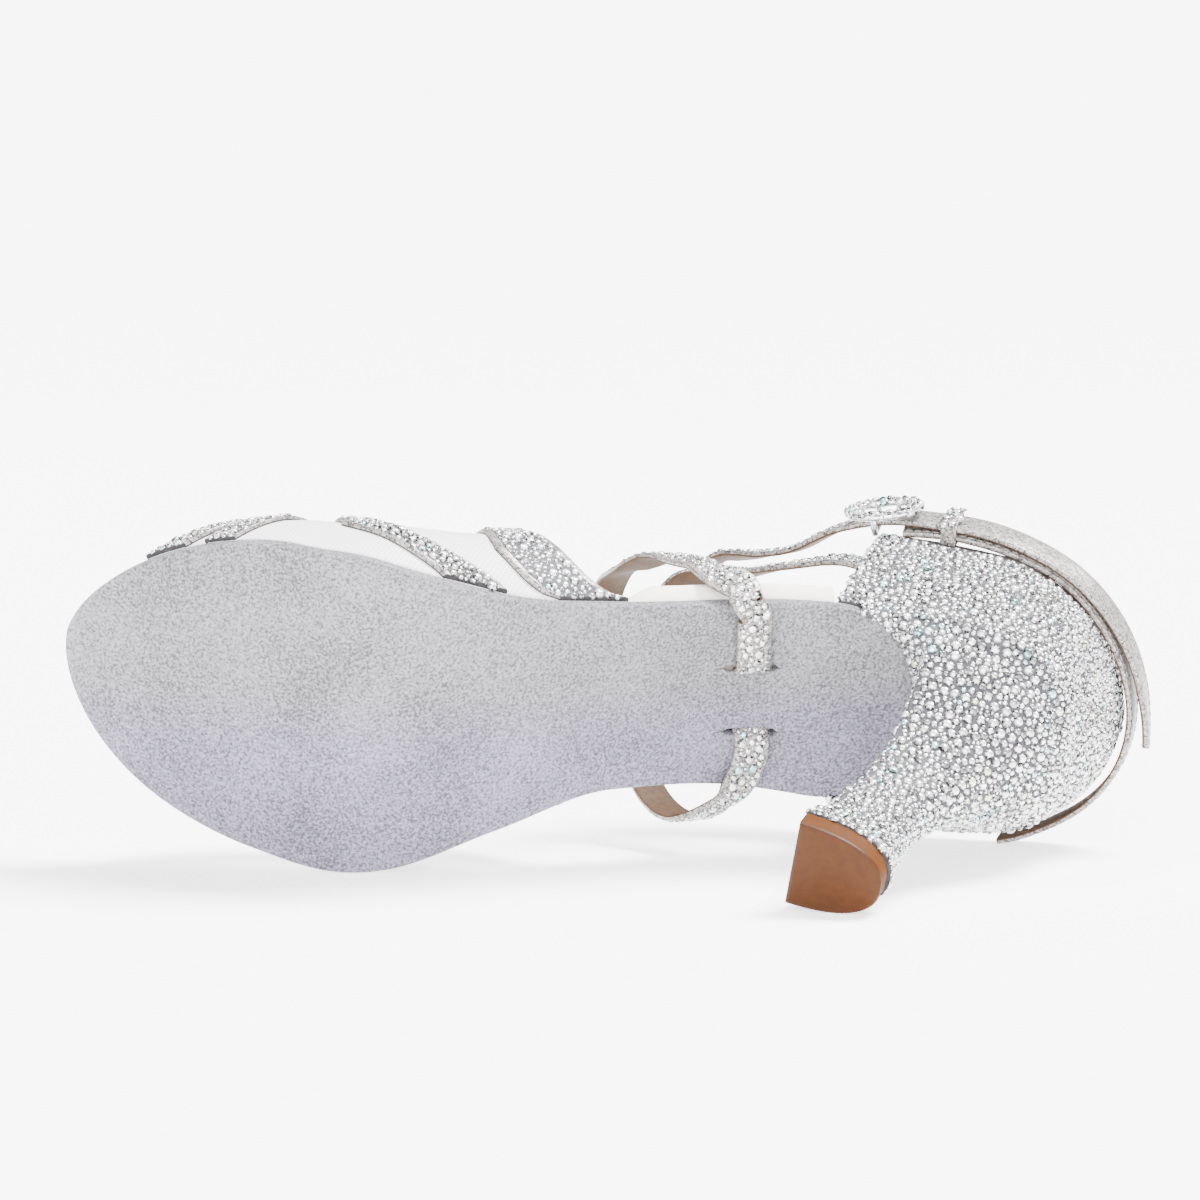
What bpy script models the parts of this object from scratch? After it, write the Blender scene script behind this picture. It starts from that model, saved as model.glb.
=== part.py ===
"""Ballroom dance sandal for the left foot, size 38, lying on its medial side.

The shoe is modelled standing: X runs from the back of the heel seat to the toe, +Y is the
lateral side, Z is up and the tread is at zero. An empty then lays the whole shoe on the
three points that its weight finds: the heel tip's corner, the sole edge and the back strap.
"""

import bmesh
import bpy
import numpy as np
from mathutils import Matrix, Vector
from mathutils.bvhtree import BVHTree

MM = 0.001

# Driving sizes
SHOE_LENGTH = 217 * MM  # back of the heel seat to the toe tip, measured level
BALL_WIDTH = 81 * MM
HEEL_HEIGHT = 77 * MM  # underside of the sole at the heel seat
INSTEP_HEIGHT = 60 * MM  # last above the insole, at the throat
COUNTER_HEIGHT = 36 * MM
GAP = 0.3 * MM  # between pieces that touch

# Sole
OUTSOLE_THICKNESS = 2.8 * MM
INSOLE_THICKNESS = 4.0 * MM
INSOLE_OVERHANG = 1.6 * MM  # past the outsole, at the waist
TOE_SPRING = 3 * MM
TREAD_END = 0.86  # share of the length where the toe spring starts
SEAT_START = 0.138  # share of the length where the round back of the seat starts
SEAT_FULLNESS = 2.6
SEAT_OFFSET = -4 * MM  # back of the seat, towards the medial side
TOE_START = 0.76
TOE_FULLNESS = {1: 1.6, -1: 1.9}
TOE_OFFSET = -2.1 * MM
SOLE_BACK = 37 * MM  # round back end of the outsole
SOLE_BACK_DEPTH = 21 * MM
WING_TIP = 52.5 * MM  # front of the heel's thin wings beside the round end

# Upper
VAMP_WALL = 1.0 * MM
STRIP_RAISE = 1.1 * MM
STRIP_WIDTH = 6.5 * MM
UPPER_FULLNESS = 2.2
COUNTER_WALL = 2.2 * MM
COUNTER_FRONT = 57 * MM
COUNTER_BULGE = 1.6 * MM

# Straps
STRAP_WIDTH = 8 * MM
STRAP_THICKNESS = 1.4 * MM
FINE_STEP = 0.4 * MM  # along a strap, before its straight parts are thinned out
LONGEST_STEP = 5 * MM
MOST_TURN = 0.15
BRIDGE_THICKNESS = 0.9 * MM  # suede between the two slits, over the strap
SLIT_LENGTH = 14 * MM
SLIT_WIDTH = 5.2 * MM
SLIT_OFFSET = 8.3 * MM  # from the middle of the sole
SLIT_BEND = 2.2 * MM  # half length of the strap's bend through a slit
ARCH_STATION = 71.7 * MM
ARCH_SLANT = 0.12  # forward shift of the arch strap for each unit sideways
RING_AXIS = 28 * MM  # height of the arch strap's middle above the sole

# Heel
TIP_HEIGHT = 6 * MM
TIP_FRONT = 42.1 * MM
TIP_LENGTH = 20.6 * MM
TIP_WIDTH = 20.9 * MM
TIP_OFFSET = -0.9 * MM
HEEL_FULLNESS = 2.4

# Buckle
BUCKLE_LENGTH = 18 * MM
BUCKLE_WIDTH = 15 * MM
BUCKLE_BAND = 2.6 * MM
BUCKLE_THICKNESS = 1.8 * MM
BUCKLE_BAR = 1.6 * MM
BUCKLE_BAR_SHIFT = 2.1 * MM  # from the middle of the frame, towards the toe
KEEPER_LENGTH = 3.5 * MM
KEEPER_WALL = 0.8 * MM

# Sole sections: station (share of length), lateral and medial half width (share of ball
# width), height of the underside (share of heel height)
SOLE_SECTIONS = (
    (0.000, 0.327, 0.327, 1.000),
    (0.115, 0.327, 0.327, 0.994),
    (0.207, 0.316, 0.330, 0.948),
    (0.276, 0.313, 0.306, 0.868),
    (0.346, 0.313, 0.282, 0.755),
    (0.438, 0.338, 0.262, 0.510),
    (0.530, 0.378, 0.362, 0.275),
    (0.622, 0.461, 0.480, 0.084),
    (0.691, 0.497, 0.502, 0.010),
    (0.760, 0.478, 0.493, 0.000),
    (1.000, 0.470, 0.480, 0.000),
)

# Last sections: station (share of length), ridge above the insole (share of instep height),
# lateral and medial bulge past the feather edge (share of ball width)
LAST_SECTIONS = (
    (0.410, 1.06, 0.110, 0.170),
    (0.484, 1.00, 0.080, 0.115),
    (0.553, 0.92, 0.052, 0.050),
    (0.622, 0.83, 0.022, 0.020),
    (0.700, 0.70, 0.010, 0.010),
    (0.780, 0.57, 0.006, 0.006),
    (0.860, 0.44, 0.004, 0.004),
    (0.940, 0.33, 0.002, 0.002),
)
RIDGE_SHIFT = -3 * MM  # top of the last, towards the medial side

# Edges of the vamp: station at the sole, run over the top (shares of length), steepness
TOE_OPENING = (0.919, -0.090, 0.76)
THROAT = (0.447, 0.184, 0.60)

# Crossing strip: turn over the vamp from the lateral edge (share of a half turn), station
CROSSING = (
    (0.000, 0.843),
    (0.090, 0.822),
    (0.500, 0.774),
    (0.880, 0.722),
    (1.000, 0.580),
)

# Heel sections: height (share of heel height), front and back (share of the seat's depth
# from its back), width (share of ball width), sideways offset (share of ball width)
HEEL_SECTIONS = (
    (0.082, 0.735, 0.368, 0.256, -0.011),
    (0.180, 0.695, 0.388, 0.212, -0.012),
    (0.310, 0.665, 0.388, 0.192, -0.014),
    (0.440, 0.638, 0.358, 0.194, -0.018),
    (0.570, 0.622, 0.298, 0.226, -0.022),
    (0.690, 0.614, 0.214, 0.306, -0.022),
    (0.800, 0.618, 0.118, 0.430, -0.018),
    (0.890, 0.632, 0.042, 0.560, -0.012),
)

# Counter's topline past the seat: place round the seat from the lateral front corner (0) by
# the back (0.5) to the medial front corner (1), outward flare and drop (shares of its height)
COUNTER_TOP = (
    (0.00, 0.03, 0.27),
    (0.10, 0.05, 0.25),
    (0.20, 0.04, 0.21),
    (0.28, -0.03, 0.16),
    (0.37, -0.06, 0.10),
    (0.46, 0.02, 0.02),
    (0.53, 0.11, 0.01),
    (0.58, 0.14, 0.08),
    (0.64, 0.19, 0.16),
    (0.69, 0.24, 0.24),
    (0.74, 0.29, 0.29),
    (0.81, 0.32, 0.31),
    (0.92, 0.31, 0.29),
    (1.00, 0.29, 0.27),
)

# Arch strap outside the sole, from the lateral sole edge over the instep to the medial edge:
# station (share of length), side (share of ball width), height over the sole (share of instep)
ARCH_RING = (
    (0.3470, 0.357, -0.072),
    (0.3570, 0.365, 0.014),
    (0.3715, 0.369, 0.070),
    (0.3850, 0.369, 0.130),
    (0.3990, 0.362, 0.215),
    (0.4160, 0.343, 0.345),
    (0.4380, 0.311, 0.490),
    (0.4700, 0.260, 0.685),
    (0.5020, 0.173, 0.870),
    (0.5320, 0.050, 1.115),
    (0.5410, -0.062, 1.200),
    (0.5280, -0.190, 1.110),
    (0.4910, -0.325, 0.840),
    (0.4490, -0.415, 0.575),
    (0.4150, -0.450, 0.350),
    (0.3870, -0.434, 0.158),
    (0.3620, -0.384, 0.008),
    (0.3420, -0.334, -0.062),
    (0.3300, -0.292, -0.054),
)

# Straps round the ankle: station (share of length), side (share of ball width), height over
# the heel seat (share of counter height), upward lean of the outer face
BACK_BAND = (
    (0.2523, 0.323, 0.864, 0.06),
    (0.2160, 0.342, 0.902, 0.06),
    (0.1640, 0.351, 0.927, 0.06),
    (0.1197, 0.338, 0.945, 0.06),
    (0.0690, 0.294, 0.958, 0.06),
    (0.0234, 0.198, 0.964, 0.05),
    (-0.0120, 0.072, 0.936, 0.04),
    (-0.0295, -0.055, 0.889, 0.02),
    (-0.0310, -0.171, 0.828, 0.00),
    (-0.0195, -0.273, 0.761, -0.05),
    (0.0046, -0.365, 0.700, -0.08),
    (0.0336, -0.432, 0.656, -0.10),
    (0.0599, -0.479, 0.622, -0.12),
    (0.0751, -0.498, 0.611, -0.12),
)
ANKLE_STRAP = (
    (0.2581, -0.374, 0.656, 0.00),
    (0.2857, -0.390, 0.681, 0.00),
    (0.3226, -0.386, 0.728, 0.05),
    (0.3917, -0.346, 0.797, 0.15),
    (0.4424, -0.228, 0.875, 0.30),
    (0.4654, -0.074, 0.911, 0.45),
    (0.4544, 0.030, 0.922, 0.45),
    (0.4115, 0.091, 0.894, 0.45),
    (0.3668, 0.160, 0.839, 0.40),
    (0.3203, 0.275, 0.815, 0.28),
    (0.2834, 0.332, 0.838, 0.15),
    (0.2608, 0.351, 0.874, 0.08),
    (0.2160, 0.369, 0.906, 0.06),
    (0.1641, 0.379, 0.933, 0.06),
    (0.1177, 0.364, 0.950, 0.06),
    (0.0654, 0.315, 0.972, 0.06),
    (0.0146, 0.215, 0.978, 0.05),
    (-0.0232, 0.083, 0.950, 0.04),
    (-0.0442, -0.037, 0.878, 0.02),
    (-0.0548, -0.116, 0.778, 0.00),
)
INSTEP_STRAP = (
    (0.2350, -0.353, 0.367, 0.00),
    (0.2765, -0.365, 0.406, 0.00),
    (0.3088, -0.378, 0.433, 0.00),
    (0.3502, -0.380, 0.461, 0.00),
    (0.4147, -0.340, 0.478, 0.10),
    (0.4677, -0.210, 0.506, 0.30),
    (0.4862, -0.062, 0.533, 0.42),
    (0.4770, 0.010, 0.561, 0.42),
    (0.4585, 0.036, 0.594, 0.42),
    (0.4129, 0.085, 0.622, 0.42),
    (0.3539, 0.172, 0.589, 0.38),
    (0.2949, 0.254, 0.528, 0.30),
    (0.2396, 0.267, 0.478, 0.22),
)
ANKLE_AXIS = (45 * MM, -2 * MM)

# Places on the ankle strap: station (share of length), side (share of ball width), height over
# the heel's (share of counter height)
BUCKLE_PLACE = (0.2745, 0.342, 0.928)
KEEPER_PLACE = (0.2040, 0.380, 0.990)


def material(name, colour, roughness, metallic=0.0):
    """A plain Principled material."""
    made = bpy.data.materials.new(name)
    made.use_nodes = True
    shader = made.node_tree.nodes["Principled BSDF"]
    shader.inputs["Base Color"].default_value = (*colour, 1.0)
    shader.inputs["Roughness"].default_value = roughness
    shader.inputs["Metallic"].default_value = metallic
    return made


def new_object(name, points, faces, look=None, parent=None):
    """A mesh object from points and faces, its faces turned outward."""
    mesh = bpy.data.meshes.new(name)
    mesh.from_pydata([tuple(float(c) for c in point) for point in points], [], faces)
    shape = bmesh.new()
    shape.from_mesh(mesh)
    bmesh.ops.recalc_face_normals(shape, faces=shape.faces)
    shape.to_mesh(mesh)
    shape.free()
    made = bpy.data.objects.new(name, mesh)
    bpy.context.collection.objects.link(made)
    if look:
        mesh.materials.append(look)
    made.parent = parent
    return made


def combine(target, tool, operation):
    """Cut the tool out of the target, or join it on, with a Boolean modifier."""
    tool.display_type = "WIRE"
    tool.hide_render = True
    modifier = target.modifiers.new(tool.name, "BOOLEAN")
    modifier.operation = operation
    modifier.object = tool


def unit(vectors):
    """Vectors scaled to length one."""
    return vectors / np.linalg.norm(vectors, axis=-1)[..., None]


def smooth(places, values, limited=True):
    """A smooth curve through the values; limited keeps it from swinging past them."""
    places = np.asarray(places, float)
    values = np.asarray(values, float)
    step = np.diff(places)
    slope = np.diff(values) / step
    tangent = np.empty_like(values)
    tangent[0] = slope[0]
    tangent[-1] = slope[-1]
    mean = (step[1:] * slope[:-1] + step[:-1] * slope[1:]) / (step[1:] + step[:-1])
    if limited:
        most = 3 * np.minimum(abs(slope[:-1]), abs(slope[1:]))
        turning = slope[:-1] * slope[1:] <= 0
        mean = np.where(turning, 0, np.clip(mean, -most, most))
    tangent[1:-1] = mean

    def value(at):
        at = np.clip(at, places[0], places[-1])
        i = np.clip(np.searchsorted(places, at) - 1, 0, len(step) - 1)
        t = (at - places[i]) / step[i]
        rise = values[i + 1] - values[i]
        start = tangent[i] * step[i]
        end = tangent[i + 1] * step[i]
        return values[i] + t * (start + t * (3 * rise - 2 * start - end + t * (start + end - 2 * rise)))

    return value


def column(table, number):
    """A smooth curve through one column of a table, over its first column."""
    rows = np.array(table)
    return smooth(rows[:, 0], rows[:, number])


half_width = {1: column(SOLE_SECTIONS, 1), -1: column(SOLE_SECTIONS, 2)}
underside = column(SOLE_SECTIONS, 3)
ridge = column(LAST_SECTIONS, 1)
bulge = {1: column(LAST_SECTIONS, 2), -1: column(LAST_SECTIONS, 3)}


def sole_height(x):
    """Height of the outsole's underside."""
    share = x / SHOE_LENGTH
    spring = np.clip((share - TREAD_END) / (1 - TREAD_END), 0, 1)
    return HEEL_HEIGHT * underside(share) + TOE_SPRING * spring**2


def sole_normal(x):
    """Unit vector square to the sole, upward, in the shoe's length plane."""
    slope = (sole_height(x + MM) - sole_height(x - MM)) / (2 * MM)
    return unit(np.stack([-slope, np.zeros_like(slope), np.ones_like(slope)], axis=-1))


def on_sole(plan, level):
    """Points over or under the sole's plan points, at a level square to the underside."""
    x = plan[..., 0]
    start = np.concatenate([plan, sole_height(x)[..., None]], axis=-1)
    return start + sole_normal(x) * np.asarray(level)[..., None]


def rounded(share, fullness):
    """Superellipse: 1 at share 0, falling to 0 at share 1."""
    return (1 - np.clip(share, 0, 1) ** fullness) ** (1 / fullness)


def sole_edge(x, side):
    """Sideways place of the sole's edge; side is 1 for lateral and -1 for medial."""
    share = np.clip(x / SHOE_LENGTH, 0, 1)
    y = side * BALL_WIDTH * half_width[side](share)
    toe = rounded((share - TOE_START) / (1 - TOE_START), TOE_FULLNESS[side])
    seat = rounded((SEAT_START - share) / SEAT_START, SEAT_FULLNESS)
    y = TOE_OFFSET + (y - TOE_OFFSET) * toe
    return SEAT_OFFSET + (y - SEAT_OFFSET) * seat


def stations(start, end, count):
    """Places from start to end, close together near both ends."""
    turn = np.linspace(0, np.pi, count)
    share = (1 - np.cos(turn)) / 2
    return start + (end - start) * (share * 0.999 + 0.0005)


def offset_sides(lateral, medial, distance):
    """Both edges of an outline moved outward by a distance for each station."""
    outline = np.vstack([lateral, medial[::-1]])
    far = np.concatenate([distance, distance[::-1]])
    along = np.roll(outline, -1, axis=0) - np.roll(outline, 1, axis=0)
    along /= np.linalg.norm(along, axis=1)[:, None]
    outward = np.stack([-along[:, 1], along[:, 0]], axis=1)
    moved = outline + outward * far[:, None]
    count = len(lateral)
    return moved[:count], moved[count:][::-1]


def deck(name, under, over, low, high, look, parent, across=4):
    """A closed plate between two edge pairs, from one level over the sole's underside to another."""
    lanes = np.linspace(0, 1, across + 1)
    points = []
    for (lateral, medial), level in ((under, low), (over, high)):
        plan = lateral[:, None] * (1 - lanes[None, :, None]) + medial[:, None] * lanes[None, :, None]
        points.append(on_sole(plan, level).reshape(-1, 3))
    rows = len(under[0])
    wide = across + 1
    top = rows * wide
    faces = []
    for i in range(rows - 1):
        for j in range(across):
            a = i * wide + j
            faces.append((a, a + 1, a + wide + 1, a + wide))
            faces.append((top + a, top + a + wide, top + a + wide + 1, top + a + 1))
        for j in (0, across):
            a = i * wide + j
            faces.append((a, a + wide, top + a + wide, top + a))
    for i in (0, rows - 1):
        for j in range(across):
            a = i * wide + j
            faces.append((a, a + 1, top + a + 1, top + a))
    return new_object(name, np.vstack(points), faces, look, parent)


def shell(inner, outer, closed=False):
    """Points and faces of a wall between two grids of equal size."""
    rows, lanes = inner.shape[:2]
    points = np.vstack([inner.reshape(-1, 3), outer.reshape(-1, 3)])
    shift = rows * lanes
    faces = []
    last = rows if closed else rows - 1
    for i in range(last):
        k = (i + 1) % rows
        for j in range(lanes - 1):
            a, b, c, d = i * lanes + j, i * lanes + j + 1, k * lanes + j + 1, k * lanes + j
            faces.append((a, b, c, d))
            faces.append((shift + d, shift + c, shift + b, shift + a))
        for j in (0, lanes - 1):
            a, b = i * lanes + j, k * lanes + j
            faces.append((a, b, shift + b, shift + a))
    if not closed:
        for i in (0, rows - 1):
            for j in range(lanes - 1):
                a = i * lanes + j
                faces.append((a, a + 1, shift + a + 1, shift + a))
    return points, faces


def tube_faces(count, sides, closed):
    """Faces of a tube of count rings, with end caps unless it is closed."""
    faces = []
    last = count if closed else count - 1
    for i in range(last):
        k = (i + 1) % count
        for j in range(sides):
            m = (j + 1) % sides
            faces.append((i * sides + j, i * sides + m, k * sides + m, k * sides + j))
    if not closed:
        faces.append(tuple(range(sides)))
        faces.append(tuple((count - 1) * sides + j for j in range(sides)))
    return faces


def band_frame(centres, outward, closed):
    """Tangent, outer normal and width direction at each point of a strap's middle line."""
    if closed:
        along = np.roll(centres, -1, axis=0) - np.roll(centres, 1, axis=0)
    else:
        along = np.gradient(centres, axis=0)
    along = unit(along)
    across = unit(np.cross(outward, along))
    return along, np.cross(along, across), across


def band(name, centres, outward, width, thickness, look, parent, closed=False):
    """A strap of chamfered rectangular section along its middle line."""
    _, normal, across = band_frame(centres, outward, closed)
    half_w, half_t, chamfer = width / 2, thickness / 2, thickness / 4
    section = []
    for u, v in ((1, 1), (-1, 1), (-1, -1), (1, -1)):
        ends = [(half_w * u, (half_t - chamfer) * v), ((half_w - chamfer) * u, half_t * v)]
        section += ends if u * v > 0 else ends[::-1]
    rings = [across * u + normal * v + centres for u, v in section]
    points = np.stack(rings, axis=1).reshape(-1, 3)
    faces = tube_faces(len(centres), len(section), closed)
    return new_object(name, points, faces, look, parent)


def resample(rows):
    """Points on a smooth curve through the rows, close where it turns."""
    rows = np.asarray(rows, float)
    steps = np.linalg.norm(np.diff(rows[:, :3], axis=0), axis=1)
    places = np.concatenate([[0], np.cumsum(steps)])
    count = int(places[-1] / FINE_STEP) + 2
    at = np.linspace(0, places[-1], count)
    curve = np.stack([smooth(places, values, limited=False)(at) for values in rows.T], axis=1)
    along = unit(np.diff(curve[:, :3], axis=0))
    turns = np.arccos(np.clip((along[1:] * along[:-1]).sum(axis=1), -1, 1))
    kept = [0]
    turned = 0.0
    for i in range(1, count - 1):
        turned += turns[i - 1]
        if turned > MOST_TURN or (i - kept[-1]) * FINE_STEP > LONGEST_STEP:
            kept.append(i)
            turned = 0.0
    kept.append(count - 1)
    return curve[kept]


def build_outsole(look, parent):
    """Suede sole from its round back end to the toe, with the two slits and the strap channel."""
    x = np.unique(np.concatenate([
        stations(SOLE_BACK, SOLE_BACK + 2 * SOLE_BACK_DEPTH, 22)[:11],
        np.linspace(SOLE_BACK + SOLE_BACK_DEPTH, SHOE_LENGTH * 0.8, 24),
        stations(SHOE_LENGTH * 0.6, SHOE_LENGTH, 30)[15:],
    ]))
    lateral, medial = outsole_sides(x)
    sides = (lateral, medial)
    sole = deck("outsole", sides, sides, 0, OUTSOLE_THICKNESS, look, parent)
    for side in (1, -1):
        combine(sole, slit_cutter(side, parent), "DIFFERENCE")
    combine(sole, channel_cutter(parent), "DIFFERENCE")
    return sole


def outsole_sides(x):
    """Both edges of the outsole, with its round back end."""
    back = rounded((SOLE_BACK + SOLE_BACK_DEPTH - x) / SOLE_BACK_DEPTH, 2)
    edges = [sole_edge(x, side) for side in (1, -1)]
    middle = (edges[0] + edges[1]) / 2
    return [np.stack([x, middle + (edge - middle) * back], axis=1) for edge in edges]


def slit_cutter(side, parent):
    """Pointed slot, right through the outsole."""
    centre_y = side * SLIT_OFFSET
    centre_x = ARCH_STATION + ARCH_SLANT * centre_y
    straight = STRAP_WIDTH / 2 + 2 * GAP
    half = SLIT_LENGTH / 2
    plan = [(-half, 0), (-straight, -1), (straight, -1), (half, 0), (straight, 1), (-straight, 1)]
    reach = 2 * OUTSOLE_THICKNESS
    corners = np.array([(centre_x + u, centre_y + v * SLIT_WIDTH / 2) for u, v in plan])
    points = np.vstack([on_sole(corners, -reach), on_sole(corners, reach)])
    return new_object(f"slit_cutter_{side + 2}", points, tube_faces(2, 6, False), None, parent)


def channel_cutter(parent):
    """Room for the strap between the slits, open upward."""
    across = STRAP_WIDTH / 2 + 2 * GAP
    corners = []
    for u, v in ((-1, -1), (1, -1), (1, 1), (-1, 1)):
        y = v * SLIT_OFFSET
        corners.append((ARCH_STATION + ARCH_SLANT * y + u * across, y))
    corners = np.array(corners)
    points = np.vstack([on_sole(corners, BRIDGE_THICKNESS), on_sole(corners, 2 * OUTSOLE_THICKNESS)])
    return new_object("channel_cutter", points, tube_faces(2, 4, False), None, parent)


def build_insole(look, parent):
    """Covered insole: inside counter and vamp, and past the outsole's edge at the waist."""
    throat_x = THROAT[0] * SHOE_LENGTH
    x = np.unique(np.concatenate([
        stations(0, SHOE_LENGTH * 0.5, 34)[:17],
        COUNTER_FRONT + GAP * np.array([-10, 1, 3, 5, 7, 20]),
        np.linspace(COUNTER_FRONT + 10 * MM, throat_x - 8 * MM, 5),
        np.linspace(throat_x - 6 * MM, throat_x, 5),
        np.linspace(throat_x + 6 * MM, SHOE_LENGTH * 0.8, 12),
        stations(SHOE_LENGTH * 0.6, SHOE_LENGTH, 26)[13:],
    ]))
    sides = [np.stack([x, sole_edge(x, side)], axis=1) for side in (1, -1)]
    seat = COUNTER_WALL + GAP
    fore = VAMP_WALL + 3 * GAP
    places = [COUNTER_FRONT + GAP, COUNTER_FRONT + 7 * GAP, throat_x - 20 * GAP, throat_x - 5 * GAP]
    top_edge = smooth(places, [-seat, INSOLE_OVERHANG, INSOLE_OVERHANG, -fore])(x)
    low_edge = smooth(places, [-seat, -GAP, -GAP, -fore])(x)
    under = offset_sides(*sides, low_edge)
    over = offset_sides(*sides, top_edge)
    low = OUTSOLE_THICKNESS + GAP
    return deck("insole", under, over, low, low + INSOLE_THICKNESS, look, parent, across=2)


def seat_ring(level):
    """Rim of the heel's top: round the seat, and back along the outsole's round end."""
    x = stations(SOLE_BACK - GAP, 2 * WING_TIP - SOLE_BACK + GAP, 20)[:10][::-1]
    rear = stations(0, 2 * SOLE_BACK, 22)[:11][::-1]
    edge_x = np.concatenate([x, rear])
    outer = {side: np.stack([edge_x, sole_edge(edge_x, side)], axis=1) for side in (1, -1)}
    depth = SOLE_BACK_DEPTH + GAP
    share = rounded((SOLE_BACK - GAP + depth - x) / depth, 2)
    middle = (sole_edge(x, 1) + sole_edge(x, -1)) / 2
    front = {}
    for side in (1, -1):
        reach = (sole_edge(x, side) - middle) * share
        front[side] = np.stack([x, middle + reach + side * GAP * share], axis=1)
    ring = np.vstack([outer[1], outer[-1][::-1], front[-1], front[1][::-1]])
    return on_sole(ring, level), len(x), len(edge_x)


def heel_ring(height, front, back, width, offset, count_front, count_edge):
    """Level D-shaped section of the heel, point for point like the seat's ring."""
    turn = np.linspace(0, np.pi / 2, count_edge)
    y = width / 2 * np.cos(turn) ** (2 / HEEL_FULLNESS)
    x = front - (front - back) * np.sin(turn) ** (2 / HEEL_FULLNESS)
    lateral = np.column_stack([x, y])
    medial = np.column_stack([x, -y])
    breast = np.linspace(1, 0.02, count_front) * 0.94 * width / 2
    front_medial = np.column_stack([np.full(count_front, front), -breast])
    front_lateral = np.column_stack([np.full(count_front, front), breast])
    ring = np.vstack([lateral, medial[::-1], front_medial, front_lateral[::-1]])
    ring[:, 1] += offset
    return np.column_stack([ring, np.full(len(ring), height)])


def build_heel(look, parent):
    """Flared heel, from the tip's seat to the rim that carries counter and insole."""
    rim, count_front, count_edge = seat_ring(0)
    top, _, _ = seat_ring(OUTSOLE_THICKNESS)
    rings = []
    for height, front, back, width, offset in HEEL_SECTIONS:
        rings.append(heel_ring(
            max(height * HEEL_HEIGHT, TIP_HEIGHT + GAP), front * COUNTER_FRONT, back * COUNTER_FRONT,
            width * BALL_WIDTH, offset * BALL_WIDTH, count_front, count_edge,
        ))
    rings += [rim, top]
    sides = len(top)
    faces = tube_faces(len(rings), sides, False)[:-1]
    first = (len(rings) - 1) * sides
    medial = 2 * count_edge - 1
    front_medial = 2 * count_edge
    front_lateral = sides - 1
    for k in range(count_edge - 1):
        outer = (first + k, first + k + 1)
        other = (first + medial - k, first + medial - k - 1)
        if k < count_front - 1:
            faces.append((*outer, first + front_lateral - k - 1, first + front_lateral - k))
            faces.append((*other, first + front_medial + k + 1, first + front_medial + k))
        else:
            faces.append((*outer, other[1], other[0]))
    middle = count_front - 1
    faces.append((
        first + middle, first + front_lateral - middle, first + front_medial + middle,
        first + medial - middle,
    ))
    return new_object("heel", np.vstack(rings), faces, look, parent)


def build_heel_tip(look, parent):
    """Rubber top piece under the heel."""
    rings = []
    for level, grow in ((0, -0.5 * MM), (0.5 * MM, 0), (TIP_HEIGHT, -0.3 * MM)):
        rings.append(heel_ring(
            level, TIP_FRONT + grow, TIP_FRONT - TIP_LENGTH - grow, TIP_WIDTH + 2 * grow,
            TIP_OFFSET, 2, 16,
        ))
    faces = tube_faces(len(rings), len(rings[0]), False)
    return new_object("heel_tip", np.vstack(rings), faces, look, parent)


def counter_outline():
    """Seat edge from the lateral front corner round the back to the medial one."""
    edge_x = np.concatenate([
        np.linspace(COUNTER_FRONT, 30 * MM, 8)[:-1],
        stations(0, 60 * MM, 26)[:13][::-1],
    ])
    lateral = np.column_stack([edge_x, sole_edge(edge_x, 1)])
    medial = np.column_stack([edge_x, sole_edge(edge_x, -1)])
    outline = np.vstack([lateral, medial[::-1]])
    steps = np.linalg.norm(np.diff(outline, axis=0), axis=1)
    share = np.concatenate([[0], np.cumsum(steps)]) / steps.sum()
    along = unit(np.gradient(outline, axis=0))
    outward = np.stack([along[:, 1], -along[:, 0]], axis=1)
    return outline, share, outward


def build_counter(look, parent):
    """Closed counter round the heel, open at the front and on top."""
    outline, share, outward = counter_outline()
    flare = column(COUNTER_TOP, 1)(share) * COUNTER_HEIGHT
    drop = column(COUNTER_TOP, 2)(share) * COUNTER_HEIGHT
    brim = HEEL_HEIGHT + OUTSOLE_THICKNESS + COUNTER_HEIGHT - drop
    walls = []
    for depth in (COUNTER_WALL, 0):
        rows = []
        foot = on_sole(outline - outward * depth, OUTSOLE_THICKNESS + GAP)
        for level in np.linspace(0, 1, 7):
            reach = flare * level + COUNTER_BULGE * np.sin(np.pi * level)
            rise = (brim - foot[:, 2]) * level
            rows.append(foot + np.column_stack([outward * reach[:, None], rise]))
        walls.append(np.stack(rows, axis=1))
    points, faces = shell(*walls)
    return new_object("counter", points, faces, look, parent)


def last_point(x, turn):
    """Inner face of the upper: turn is 0 at the lateral edge of the sole and pi at the medial."""
    side_width = {}
    share = x / SHOE_LENGTH
    swell = 1 - (1 - np.clip(np.sin(turn) / 0.45, 0, 1)) ** 2
    for side in (1, -1):
        feather = abs(sole_edge(x, side)) - VAMP_WALL - GAP
        side_width[side] = feather + bulge[side](share) * BALL_WIDTH * swell
    curve = 2 / UPPER_FULLNESS
    cosine = np.cos(turn)
    y = np.where(cosine > 0, side_width[1], -side_width[-1]) * abs(cosine) ** curve
    up = np.clip(np.sin(turn), 0, 1)
    y = y + RIDGE_SHIFT * up**2
    foot = on_sole(np.stack([x, y], axis=-1), OUTSOLE_THICKNESS + GAP)
    rise = INSOLE_THICKNESS + ridge(share) * INSTEP_HEIGHT
    foot[..., 2] += rise * up**curve
    return foot


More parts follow.
